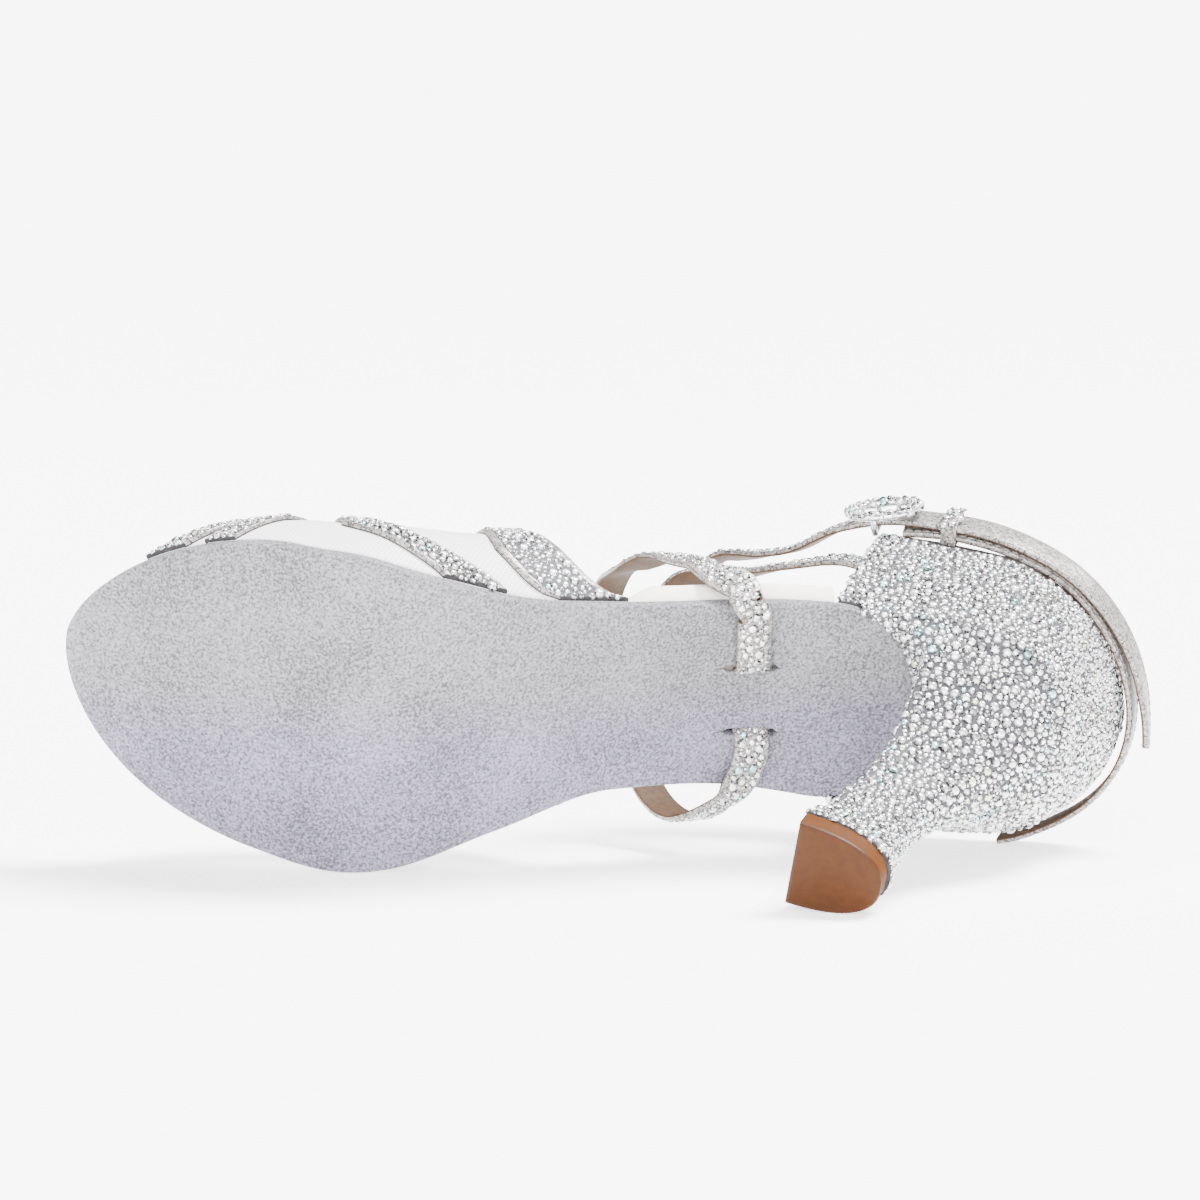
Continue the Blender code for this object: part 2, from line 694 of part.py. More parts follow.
def last_normal(x, turn):
    """Outward unit vector of the upper's inner face, level along the sole's edge."""
    step = 0.5 * MM
    along = last_point(x + step, turn) - last_point(x - step, turn)
    low = np.clip(turn - 0.02, 0, np.pi)
    high = np.clip(turn + 0.02, 0, np.pi)
    around = last_point(x, high) - last_point(x, low)
    normal = unit(np.cross(around, along))
    edge = np.clip(np.minimum(turn, np.pi - turn) / 0.08, 0, 1)
    square = sole_normal(x)
    out = (normal * square).sum(axis=-1) * (1 - edge)
    return unit(normal - square * out[..., None])


def opening_edge(edge, turn):
    """Station of the toe opening or the throat, at a turn over the vamp."""
    start, run, steepness = edge
    return SHOE_LENGTH * (start + run * np.clip(np.sin(turn), 0, 1) ** steepness)


def sheet_on_last(x, turn, low, high):
    """Wall over the last between two distances from it."""
    inner = last_point(x, turn)
    normal = last_normal(x, turn)
    return shell(inner + normal * low, inner + normal * high)


def strip_width(centre, turn):
    """Length along the shoe that gives a slanted strip its true width."""
    line = last_point(centre, turn)
    along = np.gradient(centre)
    run = np.linalg.norm(np.gradient(line, axis=0), axis=1)
    level = np.clip(abs(along) / run, 0, 0.86)
    return STRIP_WIDTH / np.sqrt(1 - level**2)


def build_vamp(look, parent):
    """Mesh wall with its four strips raised on it, one solid, open at toe and throat."""
    turn = np.linspace(0, np.pi, 35)
    lanes = np.linspace(0, 1, 9)
    front = opening_edge(TOE_OPENING, turn)
    back = opening_edge(THROAT, turn)
    x = front[:, None] + (back - front)[:, None] * lanes
    wide_turn = np.repeat(turn[:, None], len(lanes), axis=1)
    vamp = new_object("vamp", *sheet_on_last(x, wide_turn, 0, VAMP_WALL), look, parent)

    crossing = column(CROSSING, 1)
    routes = {
        "toe_strip": (front, -0.5, 1.00),
        "throat_strip": (back, 0.5, 1.00),
        "crossing_strip": (SHOE_LENGTH * crossing(turn / np.pi), 0, 0.93),
        "return_strip": (SHOE_LENGTH * crossing(1 - turn / np.pi), 0, 1.12),
    }
    spread = np.linspace(-0.5, 0.5, 3)
    strip_turn = np.repeat(turn[:, None], len(spread), axis=1)
    for name, (route, shift, raised) in routes.items():
        width = strip_width(route, turn)
        middle = route + shift * (width - 2 * GAP)
        x = middle[:, None] + width[:, None] * spread
        points, faces = sheet_on_last(
            x, strip_turn, 0.45 * VAMP_WALL * raised, VAMP_WALL + STRIP_RAISE * raised,
        )
        combine(vamp, new_object(name, points, faces, None, parent), "UNION")
    return vamp


def under_foot(y, level):
    """Point on the arch strap's line across the sole, at a level square to the underside."""
    return on_sole(np.array([ARCH_STATION + ARCH_SLANT * y, y]), level)


def arch_path():
    """Middle line of the arch strap, all round, and its outward directions."""
    outside = -3 * GAP - STRAP_THICKNESS / 2
    inside = BRIDGE_THICKNESS + GAP + STRAP_THICKNESS / 2
    bend = np.linspace(0, 1, 7)
    through = [(0.0, inside), (0.5 * SLIT_OFFSET, inside)]
    for y, drop in zip(SLIT_OFFSET + SLIT_BEND * (2 * bend - 1), bend**2 * (3 - 2 * bend)):
        through.append((y, inside + (outside - inside) * drop))
    through.append((1.6 * SLIT_OFFSET, outside))
    rows = [under_foot(y, level) for y, level in through]
    rows += [under_foot(share * sole_edge(ARCH_STATION, 1), outside) for share in (0.75, 0.9)]
    for station, side, height in ARCH_RING:
        x = station * SHOE_LENGTH
        rows.append((x, side * BALL_WIDTH, sole_height(x) + height * INSTEP_HEIGHT))
    rows += [under_foot(-y, level) for y, level in through[:0:-1]]
    rows.append(rows[0])
    centres = resample(rows)[:-1]
    outward = []
    for x, y, z in centres:
        level = z - sole_height(x) - RING_AXIS
        beside = min(1, abs(y) / sole_edge(x, 1)) ** 8
        outward.append(np.array([0, y * beside, 0]) + sole_normal(x) * level)
    return centres, np.array(outward)


def build_arch_strap(look, parent):
    """Strap through the slits, under the foot and over the instep, one closed ring."""
    centres, outward = arch_path()
    return band("arch_strap", centres, outward, STRAP_WIDTH, STRAP_THICKNESS, look, parent, closed=True)


def ankle_path(table):
    """Middle line and outward directions of a strap round the ankle."""
    rows = []
    for station, side, height, lean in table:
        z = HEEL_HEIGHT + OUTSOLE_THICKNESS + height * COUNTER_HEIGHT
        rows.append((station * SHOE_LENGTH, side * BALL_WIDTH, z, lean))
    line = resample(rows)
    centres = line[:, :3]
    outward = unit(centres[:, :2] - np.array(ANKLE_AXIS))
    return centres, np.column_stack([outward, line[:, 3]])


def place_on(centres, outward, at, lift):
    """Frame on a strap: a point lifted off its outer face, and the frame's three directions."""
    steps = np.diff(centres, axis=0)
    share = np.clip(((at - centres[:-1]) * steps).sum(axis=1) / (steps**2).sum(axis=1), 0, 1)
    spots = centres[:-1] + steps * share[:, None]
    i = int(np.argmin(np.linalg.norm(spots - at, axis=1)))
    frame = band_frame(centres, outward, False)
    along, normal, across = [unit(v[i] * (1 - share[i]) + v[i + 1] * share[i]) for v in frame]
    turn = Matrix(np.column_stack([along, across, normal]).tolist()).to_4x4()
    return Matrix.Translation((spots[i] + normal * lift).tolist()) @ turn


def build_buckle(place, look, parent):
    """Oval frame over the strap, with the bar that passes under it."""
    turn = np.linspace(0, 2 * np.pi, 33)[:-1]
    walls = []
    for inset in (0, BUCKLE_BAND):
        a = BUCKLE_LENGTH / 2 - inset
        b = BUCKLE_WIDTH / 2 - inset
        rings = []
        for level in (0, BUCKLE_THICKNESS):
            rings.append(np.column_stack([a * np.cos(turn), b * np.sin(turn), np.full(len(turn), level)]))
        walls.append(np.stack(rings, axis=1))
    points, faces = shell(*walls, closed=True)
    frame = new_object("buckle_frame", points, faces, look, parent)
    frame.matrix_local = place
    side = BUCKLE_WIDTH / 2 - BUCKLE_BAND / 2
    post = BUCKLE_BAR / 2
    depth = STRAP_THICKNESS + 4 * GAP
    outline = (
        (-side - post, 0.5 * BUCKLE_THICKNESS), (-side - post, -depth - 2 * post),
        (side + post, -depth - 2 * post), (side + post, 0.5 * BUCKLE_THICKNESS),
        (side - post, 0.5 * BUCKLE_THICKNESS), (side - post, -depth),
        (-side + post, -depth), (-side + post, 0.5 * BUCKLE_THICKNESS),
    )
    points = [(u * post - BUCKLE_BAR_SHIFT, y, z) for u in (-1, 1) for y, z in outline]
    bar = new_object("buckle_bar", points, tube_faces(2, len(outline), False), None, parent)
    bar.matrix_local = place
    combine(frame, bar, "UNION")
    return frame


def build_keeper(place, look, parent):
    """Loop that holds the strap's free end on the band behind the buckle."""
    inner_y = STRAP_WIDTH / 2 + 2 * GAP
    low = -2 * STRAP_THICKNESS - 6 * GAP
    high = GAP
    walls = []
    for grow in (KEEPER_WALL, 0):
        y = inner_y + grow
        corners = ((-y, low - grow), (y, low - grow), (y, high + grow), (-y, high + grow))
        rings = []
        for x in (-KEEPER_LENGTH / 2, KEEPER_LENGTH / 2):
            rings.append(np.array([(x, *corner) for corner in corners]))
        walls.append(np.stack(rings, axis=1))
    points, faces = shell(*walls, closed=True)
    keeper = new_object("keeper_loop", points, faces, look, parent)
    keeper.matrix_local = place
    return keeper


def lying_matrix(objects):
    """Turn and shift that lay the shoe on the hull face that carries its weight."""
    bpy.context.view_layer.update()
    graph = bpy.context.evaluated_depsgraph_get()
    cloud = bmesh.new()
    weight = Vector()
    total = 0.0
    for piece in objects:
        evaluated = piece.evaluated_get(graph)
        mesh = evaluated.to_mesh()
        for vertex in mesh.vertices:
            cloud.verts.new(piece.matrix_world @ vertex.co)
        for face in mesh.polygons:
            weight += piece.matrix_world @ face.center * face.area
            total += face.area
        evaluated.to_mesh_clear()
    weight /= total
    hull = bmesh.ops.convex_hull(cloud, input=cloud.verts)
    inside = [item for item in hull["geom_interior"] if isinstance(item, bmesh.types.BMVert)]
    bmesh.ops.delete(cloud, geom=inside, context="VERTS")
    tree = BVHTree.FromBMesh(cloud)
    corners = [vertex.co.copy() for vertex in cloud.verts]
    cloud.free()
    down = Vector((-0.23, -0.93, -0.28)).normalized()
    for _ in range(12):
        _, normal, _, _ = tree.ray_cast(weight, down)
        normal = normal if normal.dot(down) > 0 else -normal
        if (normal - down).length < 1e-6:
            break
        down = normal.normalized()
    up = -down
    toe = (Vector((1, 0, 0)) - up * up.x).normalized()
    turn = Matrix((toe, up.cross(toe), up)).to_4x4()
    laid = [turn @ corner for corner in corners]
    low = [min(point[k] for point in laid) for k in range(3)]
    high = [max(point[k] for point in laid) for k in range(3)]
    shift = Vector((-(low[0] + high[0]) / 2, -(low[1] + high[1]) / 2, -low[2]))
    return Matrix.Translation(shift) @ turn


def main():
    for old in list(bpy.data.objects):
        bpy.data.objects.remove(old, do_unlink=True)
    pose = bpy.data.objects.new("lying_pose", None)
    bpy.context.collection.objects.link(pose)

    suede = material("suede", (0.62, 0.61, 0.66), 0.95)
    ivory = material("ivory_leather", (0.86, 0.80, 0.68), 0.55)
    stones = material("stones", (0.78, 0.79, 0.82), 0.20, 0.4)
    rubber = material("amber_rubber", (0.50, 0.24, 0.12), 0.45)
    mesh = material("white_mesh", (0.92, 0.92, 0.94), 0.60)
    metal = material("bright_metal", (0.80, 0.80, 0.82), 0.25, 1.0)
    lining = material("tan_lining", (0.52, 0.40, 0.31), 0.70)

    shoe = [
        build_outsole(suede, pose),
        build_insole(ivory, pose),
        build_heel(stones, pose),
        build_heel_tip(rubber, pose),
        build_counter(stones, pose),
        build_vamp(mesh, pose),
        build_arch_strap(stones, pose),
    ]
    back = ankle_path(BACK_BAND)
    ankle = ankle_path(ANKLE_STRAP)
    instep = ankle_path(INSTEP_STRAP)
    shoe.append(band("back_band", *back, STRAP_WIDTH, STRAP_THICKNESS, stones, pose))
    shoe.append(band("ankle_strap", *ankle, STRAP_WIDTH, STRAP_THICKNESS, stones, pose))
    shoe.append(band("instep_strap", *instep, STRAP_WIDTH, STRAP_THICKNESS, stones, pose))

    buckle_at = np.array(BUCKLE_PLACE) * (SHOE_LENGTH, BALL_WIDTH, COUNTER_HEIGHT) + (0, 0, HEEL_HEIGHT)
    keeper_at = np.array(KEEPER_PLACE) * (SHOE_LENGTH, BALL_WIDTH, COUNTER_HEIGHT) + (0, 0, HEEL_HEIGHT)
    lift = STRAP_THICKNESS / 2 + 2 * GAP
    shoe.append(build_buckle(place_on(*ankle, buckle_at, lift), metal, pose))
    shoe.append(build_keeper(place_on(*ankle, keeper_at, STRAP_THICKNESS / 2), lining, pose))

    pose.matrix_world = lying_matrix(shoe)


main()
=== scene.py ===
"""Looks of a ballroom dance sandal: suede sole, stone-set heel, counter and straps, mesh vamp.

Shapes are worked out standing, with X from the back of the heel seat to the toe, +Y lateral and
Z up from the tread, and lay() then turns every point to the way the shoe lies on the floor.
"""

import itertools

import bmesh
import bpy
import numpy as np
from mathutils import Matrix, Vector


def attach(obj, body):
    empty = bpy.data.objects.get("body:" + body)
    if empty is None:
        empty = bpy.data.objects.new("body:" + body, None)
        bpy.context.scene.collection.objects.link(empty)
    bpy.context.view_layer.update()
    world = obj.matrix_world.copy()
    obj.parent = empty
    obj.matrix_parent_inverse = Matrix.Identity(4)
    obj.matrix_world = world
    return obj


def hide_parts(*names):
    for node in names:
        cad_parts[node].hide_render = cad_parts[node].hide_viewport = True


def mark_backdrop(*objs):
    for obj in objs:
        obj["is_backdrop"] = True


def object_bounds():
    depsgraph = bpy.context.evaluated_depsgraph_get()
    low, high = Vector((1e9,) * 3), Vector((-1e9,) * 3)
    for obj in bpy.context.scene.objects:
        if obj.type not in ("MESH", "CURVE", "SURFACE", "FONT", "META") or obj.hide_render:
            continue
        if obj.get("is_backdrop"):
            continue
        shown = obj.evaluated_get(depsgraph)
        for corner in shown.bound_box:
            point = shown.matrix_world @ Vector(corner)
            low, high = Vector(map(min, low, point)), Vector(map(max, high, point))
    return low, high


bl_info = {
    "name": "Ballroom dance sandal looks",
    "version": (1, 0, 0),
    "blender": (4, 5, 0),
    "location": "3D View > Sidebar > Dance sandal",
    "description": "Dresses the packed sandal with suede, leather, mesh and small stones",
    "category": "Object",
}

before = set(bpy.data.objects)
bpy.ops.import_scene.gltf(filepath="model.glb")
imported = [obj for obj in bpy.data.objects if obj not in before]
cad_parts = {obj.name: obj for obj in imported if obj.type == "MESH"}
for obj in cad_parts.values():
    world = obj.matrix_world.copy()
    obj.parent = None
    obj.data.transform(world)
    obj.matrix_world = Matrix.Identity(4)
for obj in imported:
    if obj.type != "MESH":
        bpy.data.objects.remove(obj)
cad_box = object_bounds()

MM = 0.001
# Driving sizes
SHOE_LENGTH = 217 * MM  # back of the heel seat to the toe tip, measured level
BALL_WIDTH = 81 * MM
HEEL_HEIGHT = 77 * MM  # underside of the sole at the heel seat
INSTEP_HEIGHT = 60 * MM  # last above the insole, at the throat
COUNTER_HEIGHT = 36 * MM
GAP = 0.3 * MM  # between pieces that touch

# Sole
OUTSOLE_THICKNESS = 2.8 * MM
INSOLE_THICKNESS = 4.0 * MM
INSOLE_OVERHANG = 1.6 * MM  # past the outsole, at the waist
TOE_SPRING = 3 * MM
TREAD_END = 0.86  # share of the length where the toe spring starts
SEAT_START = 0.138  # share of the length where the round back of the seat starts
SEAT_FULLNESS = 2.6
SEAT_OFFSET = -4 * MM  # back of the seat, towards the medial side
TOE_START = 0.76
TOE_FULLNESS = {1: 1.6, -1: 1.9}
TOE_OFFSET = -2.1 * MM
SOLE_BACK = 37 * MM  # round back end of the outsole
SOLE_BACK_DEPTH = 21 * MM
WING_TIP = 52.5 * MM  # front of the heel's thin wings beside the round end

# Upper
VAMP_WALL = 1.0 * MM
STRIP_RAISE = 1.1 * MM
STRIP_WIDTH = 6.5 * MM
UPPER_FULLNESS = 2.2
COUNTER_WALL = 2.2 * MM
COUNTER_FRONT = 57 * MM
COUNTER_BULGE = 1.6 * MM

# Straps
STRAP_WIDTH = 8 * MM
STRAP_THICKNESS = 1.4 * MM
FINE_STEP = 0.4 * MM  # along a strap, before its straight parts are thinned out
LONGEST_STEP = 5 * MM
MOST_TURN = 0.15
BRIDGE_THICKNESS = 0.9 * MM  # suede between the two slits, over the strap
SLIT_LENGTH = 14 * MM
SLIT_OFFSET = 8.3 * MM  # from the middle of the sole
SLIT_BEND = 1.3 * MM  # half length of the strap's bend through a slit
ARCH_STATION = 71.7 * MM
ARCH_SLANT = 0.12  # forward shift of the arch strap for each unit sideways
RING_AXIS = 28 * MM  # height of the arch strap's middle above the sole

# Heel
TIP_HEIGHT = 6 * MM
TIP_FRONT = 42.1 * MM
TIP_LENGTH = 20.6 * MM
TIP_WIDTH = 20.9 * MM
TIP_OFFSET = -0.9 * MM
HEEL_FULLNESS = 2.4

# Buckle
BUCKLE_LENGTH = 18 * MM
BUCKLE_WIDTH = 15 * MM
BUCKLE_BAND = 2.6 * MM
BUCKLE_THICKNESS = 1.8 * MM
BUCKLE_BAR = 1.6 * MM
BUCKLE_BAR_SHIFT = 2.1 * MM  # from the middle of the frame, towards the toe
KEEPER_LENGTH = 3.5 * MM
KEEPER_WALL = 0.8 * MM

# How the shoe lies: rows are the lying axes in the standing frame, then the shift
LAID = np.array((
    (0.970869541, -0.226283178, -0.078791581),
    (0.0, 0.328834802, -0.944387436),
    (0.239608392, 0.916877091, 0.31925571),
))
LAID_SHIFT = np.array((-0.096189, 0.05133396, 0.00184728))

# Camera in the standing frame: right, up and back, and its place
CAMERA_AXES = np.array((
    (-0.93263, 0.14430, 0.33073),
    (0.28407, 0.85881, 0.42631),
    (-0.22252, 0.49154, -0.84195),
))
CAMERA_PLACE = np.array((-0.20605, 0.71303, -1.13767))
CAMERA_LENS, CAMERA_SENSOR = 187.19, 36.0
CAMERA_NEAR, CAMERA_FAR = 0.05, 20.0

# Slits in plan: a point at each end, a thin cut, and room for the strap in the middle
SLIT_SHIFT = 0.25 * MM  # middle of the slit past the middle of the strap's bend
SLIT_POINT = 0.05 * MM  # half width at its ends
SLIT_CUT = 0.2 * MM  # half width of the thin cut, beside the strap
SLIT_ROOM = 1.0 * MM  # half width at the strap
SLIT_TAPER = 0.8 * MM  # length from the room to the cut

# Softened edges, in mm: outsole (inset, level), insole (share of the way from its low edge to
# its top edge, inset, level) and heel tip (level, growth)
SOLE_EDGE = ((0.45, 0.0), (0.15, 0.12), (0.0, 0.45), (0.0, 2.4), (0.15, 2.7), (0.4, 2.8))
INSOLE_EDGE = (
    (0.0, 0.5, 0.0), (0.0, 0.1, 0.3), (0.4, 0.0, 1.3), (0.8, 0.0, 2.4),
    (1.0, 0.0, 3.4), (1.0, 0.25, 3.85), (1.0, 0.7, 4.0),
)
TIP_EDGE = (
    (0.0, -1.0), (0.12, -0.55), (0.45, -0.15), (0.9, 0.0),
    (4.2, -0.12), (4.5, -0.14), (5.7, -0.26), (6.0, -0.6),
)
KEEPER_SECTION = (  # share of its length, share of its wall
    (-0.5, 0.15), (-0.42, 0.0), (0.42, 0.0), (0.5, 0.15),
    (0.5, 0.85), (0.42, 1.0), (-0.42, 1.0), (-0.5, 0.85),
)
STRIP_BEVEL = 0.25 * MM
STRIP_FOOT = 0.35 * MM  # where a strip's bound edge starts above the mesh

# Binding on the counter's top edge
BINDING_RISE = 3.2 * MM  # behind
BINDING_DEPTH = 0.9 * MM  # down the walls
BINDING_LANES = 7
BINDING_COURSE = ((0, 0), (0.03, 0.4), (0.1, 1), (0.4, 1), (0.7, 0.2), (1, 0))  # along it, share of the rise

# Mesh and thread
THREAD_PITCH = 1.0 * MM  # of the mesh
WAVE_LENGTH = 0.314  # of the wave texture, in its own coordinate
STITCH_PITCH = 2.1 * MM
STITCH_SHARE = 0.72  # of the pitch
STITCH_START = 1.5 * MM  # from a strap's end
STITCH_INSET = 1.1 * MM  # from a strap's edge
THREAD_RADIUS = 0.2 * MM
THREAD_SINK = 0.02 * MM
THREAD_ENDS = ((-0.5, 0.3), (-0.38, 1.0), (0.38, 1.0), (0.5, 0.3))  # along a stitch, share of its radius

# Faces of the straps
LINED_SHARE = 0.12  # of the thickness, from the middle inward, where the lining starts
BARE_EDGE = 1.15 * MM  # beside the stones
BARE_BEFORE, BARE_AFTER = 8, 12  # points of the ankle strap's line on each side of the buckle
# The arch strap carries stones where it lies under, over or beside the sole by these
SHOWN_UNDER, SHOWN_OVER, SHOWN_BESIDE = 0.1 * MM, 10 * MM, 14 * MM

SHARP, ROUND = 0.6, 0.9  # angles past which an edge stays sharp

# Shares and steps in the shapes' formulas
SWELL_RISE = 0.45  # sine of the turn up to which the last's sides swell out
PROBE, PROBE_TURN = 0.5 * MM, 0.02  # steps that find the direction of the last's face
LEVEL_TURN = 0.08  # turn from the sole's edge over which that direction leaves the level
MOST_SLANT = 0.86  # sine of a strip's slant past which its width grows no more
END_ROOM = 0.0005  # share kept free at both ends of a row of stations
BACK_START = 30 * MM  # where the seat's edge starts to turn round the back
BREAST_SHARE, BREAST_MIDDLE = 0.94, 0.02  # shares of the heel's half width on its flat front
BEND_POINTS = 7  # of the arch strap, through a slit
FLAT_START, FLAT_REACHES = 1.6, (0.75, 0.9)  # arch strap on the sole: shares of slit offset, of sole edge
BESIDE_POWER = 8  # how late the arch strap turns to face sideways
PARTS = 4  # of each step of a strap's line, where it is made finer

# Rows and lanes of the grids
HEEL_FRONT, HEEL_EDGE, HEEL_RINGS = 56, 60, 46
COUNTER_SIDE, COUNTER_BACK, COUNTER_LEVELS = 30, 90, 25
VAMP_ROWS, VAMP_LANES = 141, 61
STRIP_ROWS, STRIP_LANES = 181, 5
STRAP_LANES = 7

# Stones: spots tried on each surface, and the seed of their random draw
STONE_SPOTS = {
    "heel": (110000, 3),
    "heel_rim": (4000, 4),
    "counter": (70000, 5),
    "strip_1": (9000, 31),
    "strip_2": (9000, 32),
    "strip_3": (9000, 33),
    "strip_4": (9000, 34),
    "arch_strap": (14000, 51),
    "ankle_strap": (10000, 52),
    "instep_strap": (9000, 53),
    "buckle": (3000, 71),
    "keeper": (1500, 81),
}
# Layers of stones: seed of the draw, share of the spots that are tried for the largest stones
STONE_LAYERS = {
    "heel_stones": (11, 0.02),
    "counter_stones": (21, 0.02),
    "vamp_stones": (41, 0.01),
    "strap_stones": (61, 0.01),
    "buckle_stones": (72, 0.05),
    "keeper_stones": (82, 0.05),
}
OTHER_SHARES = (0.2, 0.7, 1.0)  # of the spots, tried for the three smaller sizes
NEIGHBOURS = tuple(itertools.product((-1, 0, 1), repeat=3))
STONE_SIDES = 8  # of a stone's girdle and of its table
TABLE_REACH, TABLE_RISE, GIRDLE_DEPTH = 0.56, 0.40, 0.12  # shares of a stone's radius
STONE_LEAN = 0.09  # how far a stone's table leans at random
# Shares of the facets and of the tables painted dim, as painted reflections on the stones
DIM_FACETS, DIM_TABLES = 0.42, 0.2  # shares of them
# Tinted stones: upper end of their share of all stones, colour
STONE_TINTS = ((0.045, (0.62, 0.90, 0.94)), (0.075, (0.96, 0.84, 0.92)), (0.10, (0.90, 0.93, 0.74)))

# Plain finishes: colour of the panel, its share in the light and the dark tone, roughness,
# grain scale, relief strength and depth, gloss, metal
FINISHES = {
    "stone_ground": ("ground", 1.0, 0.55, 0.50, 1400, 0.50, 0.3 * MM, 0.18, 0.0),
    "tan_lining": ("lining", 1.0, 0.72, 0.62, 700, 0.25, 0.2 * MM, 0.18, 0.0),
    "dark_edge": ("edge", 1.0, 0.60, 0.60, 900, 0.30, 0.2 * MM, 0.18, 0.0),
    "ivory_leather": ("ivory", 1.0, 0.93, 0.50, 900, 0.15, 0.2 * MM, 0.18, 0.0),
    "amber_rubber": ("rubber", 1.0, 0.80, 0.42, 500, 0.06, 0.1 * MM, 0.10, 0.0),
    "rubber_rim": ("rubber_rim", 1.0, 0.85, 0.60, 500, 0.10, 0.1 * MM, 0.05, 0.0),
    "thread": ("fabric", 2.4, 1.4, 0.70, 4000, 0.40, 0.1 * MM, 0.18, 0.0),
    "bright_metal": ("metal", 1.0, 0.90, 0.18, 900, 0.05, 0.05 * MM, 0.18, 1.0),
}
# Heights above the floor over which the suede's painted bounce light fades in
PAINTED_BOUNCE_START, PAINTED_BOUNCE_FULL = 0.045, 0.030  # heights above the floor
WHITE = (1.0, 1.0, 1.0, 1.0)

# Stage: strength of the world around, behind the shoe and, as a share, beside its heel, then
# the floor, the broad light, and small lights with name, place, power and width
STUDIO = (0.9, 12.0, 0.3)
FLOOR_REACH = 30.0
SUN_FROM, SUN_POWER, SUN_ANGLE = (-0.38, -0.25, 0.89), 16.0, 0.5
SMALL_LIGHTS = (
    ("small_front", (-0.5, -0.9, 0.6), 4.0, 0.12),
    ("small_side", (0.7, -0.7, 0.35), 1.5, 0.10),
    ("small_top", (0.25, -0.1, 1.0), 5.0, 0.12),
)

# Sole sections: station (share of length), lateral and medial half width (share of ball
# width), height of the underside (share of heel height)
SOLE_SECTIONS = (
    (0.000, 0.327, 0.327, 1.000),
    (0.115, 0.327, 0.327, 0.994),
    (0.207, 0.316, 0.330, 0.948),
    (0.276, 0.313, 0.306, 0.868),
    (0.346, 0.313, 0.282, 0.755),
    (0.438, 0.338, 0.262, 0.510),
    (0.530, 0.378, 0.362, 0.275),
    (0.622, 0.461, 0.480, 0.084),
    (0.691, 0.497, 0.502, 0.010),
    (0.760, 0.478, 0.493, 0.000),
    (1.000, 0.470, 0.480, 0.000),
)

# Last sections: station (share of length), ridge above the insole (share of instep height),
# lateral and medial bulge past the feather edge (share of ball width)
LAST_SECTIONS = (
    (0.410, 1.06, 0.110, 0.170),
    (0.484, 1.00, 0.080, 0.115),
    (0.553, 0.92, 0.052, 0.050),
    (0.622, 0.83, 0.022, 0.020),
    (0.700, 0.70, 0.010, 0.010),
    (0.780, 0.57, 0.006, 0.006),
    (0.860, 0.44, 0.004, 0.004),
    (0.940, 0.33, 0.002, 0.002),
)
RIDGE_SHIFT = -3 * MM  # top of the last, towards the medial side

# Edges of the vamp: station at the sole, run over the top (shares of length), steepness
TOE_OPENING = (0.919, -0.090, 0.76)
THROAT = (0.447, 0.184, 0.60)

# Crossing strip: turn over the vamp from the lateral edge (share of a half turn), station
CROSSING = (
    (0.000, 0.843),
    (0.090, 0.822),
    (0.500, 0.774),
    (0.880, 0.722),
    (1.000, 0.580),
)

# Heel sections: height (share of heel height), front and back (share of the seat's depth
# from its back), width (share of ball width), sideways offset (share of ball width)
HEEL_SECTIONS = (
    (0.082, 0.735, 0.368, 0.256, -0.011),
    (0.180, 0.695, 0.388, 0.212, -0.012),
    (0.310, 0.665, 0.388, 0.192, -0.014),
    (0.440, 0.638, 0.358, 0.194, -0.018),
    (0.570, 0.622, 0.298, 0.226, -0.022),
    (0.690, 0.614, 0.214, 0.306, -0.022),
    (0.800, 0.618, 0.118, 0.430, -0.018),
    (0.890, 0.632, 0.042, 0.560, -0.012),
)

# Counter's topline past the seat: place round the seat from the lateral front corner (0) by
# the back (0.5) to the medial front corner (1), outward flare and drop (shares of its height)
COUNTER_TOP = (
    (0.00, 0.03, 0.27),
    (0.10, 0.05, 0.25),
    (0.20, 0.04, 0.21),
    (0.28, -0.03, 0.16),
    (0.37, -0.06, 0.10),
    (0.46, 0.02, 0.02),
    (0.53, 0.11, 0.01),
    (0.58, 0.14, 0.08),
    (0.64, 0.19, 0.16),
    (0.69, 0.24, 0.24),
    (0.74, 0.29, 0.29),
    (0.81, 0.32, 0.31),
    (0.92, 0.31, 0.29),
    (1.00, 0.29, 0.27),
)

# Arch strap outside the sole, from the lateral sole edge over the instep to the medial edge:
# station (share of length), side (share of ball width), height over the sole (share of instep)
ARCH_RING = (
    (0.3470, 0.357, -0.072),
    (0.3570, 0.365, 0.014),
    (0.3715, 0.369, 0.070),
    (0.3850, 0.369, 0.130),
    (0.3990, 0.362, 0.215),
    (0.4160, 0.343, 0.345),
    (0.4380, 0.311, 0.490),
    (0.4700, 0.260, 0.685),
    (0.5020, 0.173, 0.870),
    (0.5320, 0.050, 1.115),
    (0.5410, -0.062, 1.200),
    (0.5280, -0.190, 1.110),
    (0.4910, -0.325, 0.840),
    (0.4490, -0.415, 0.575),
    (0.4150, -0.450, 0.350),
    (0.3870, -0.434, 0.158),
    (0.3620, -0.384, 0.008),
    (0.3420, -0.334, -0.062),
    (0.3300, -0.292, -0.054),
)

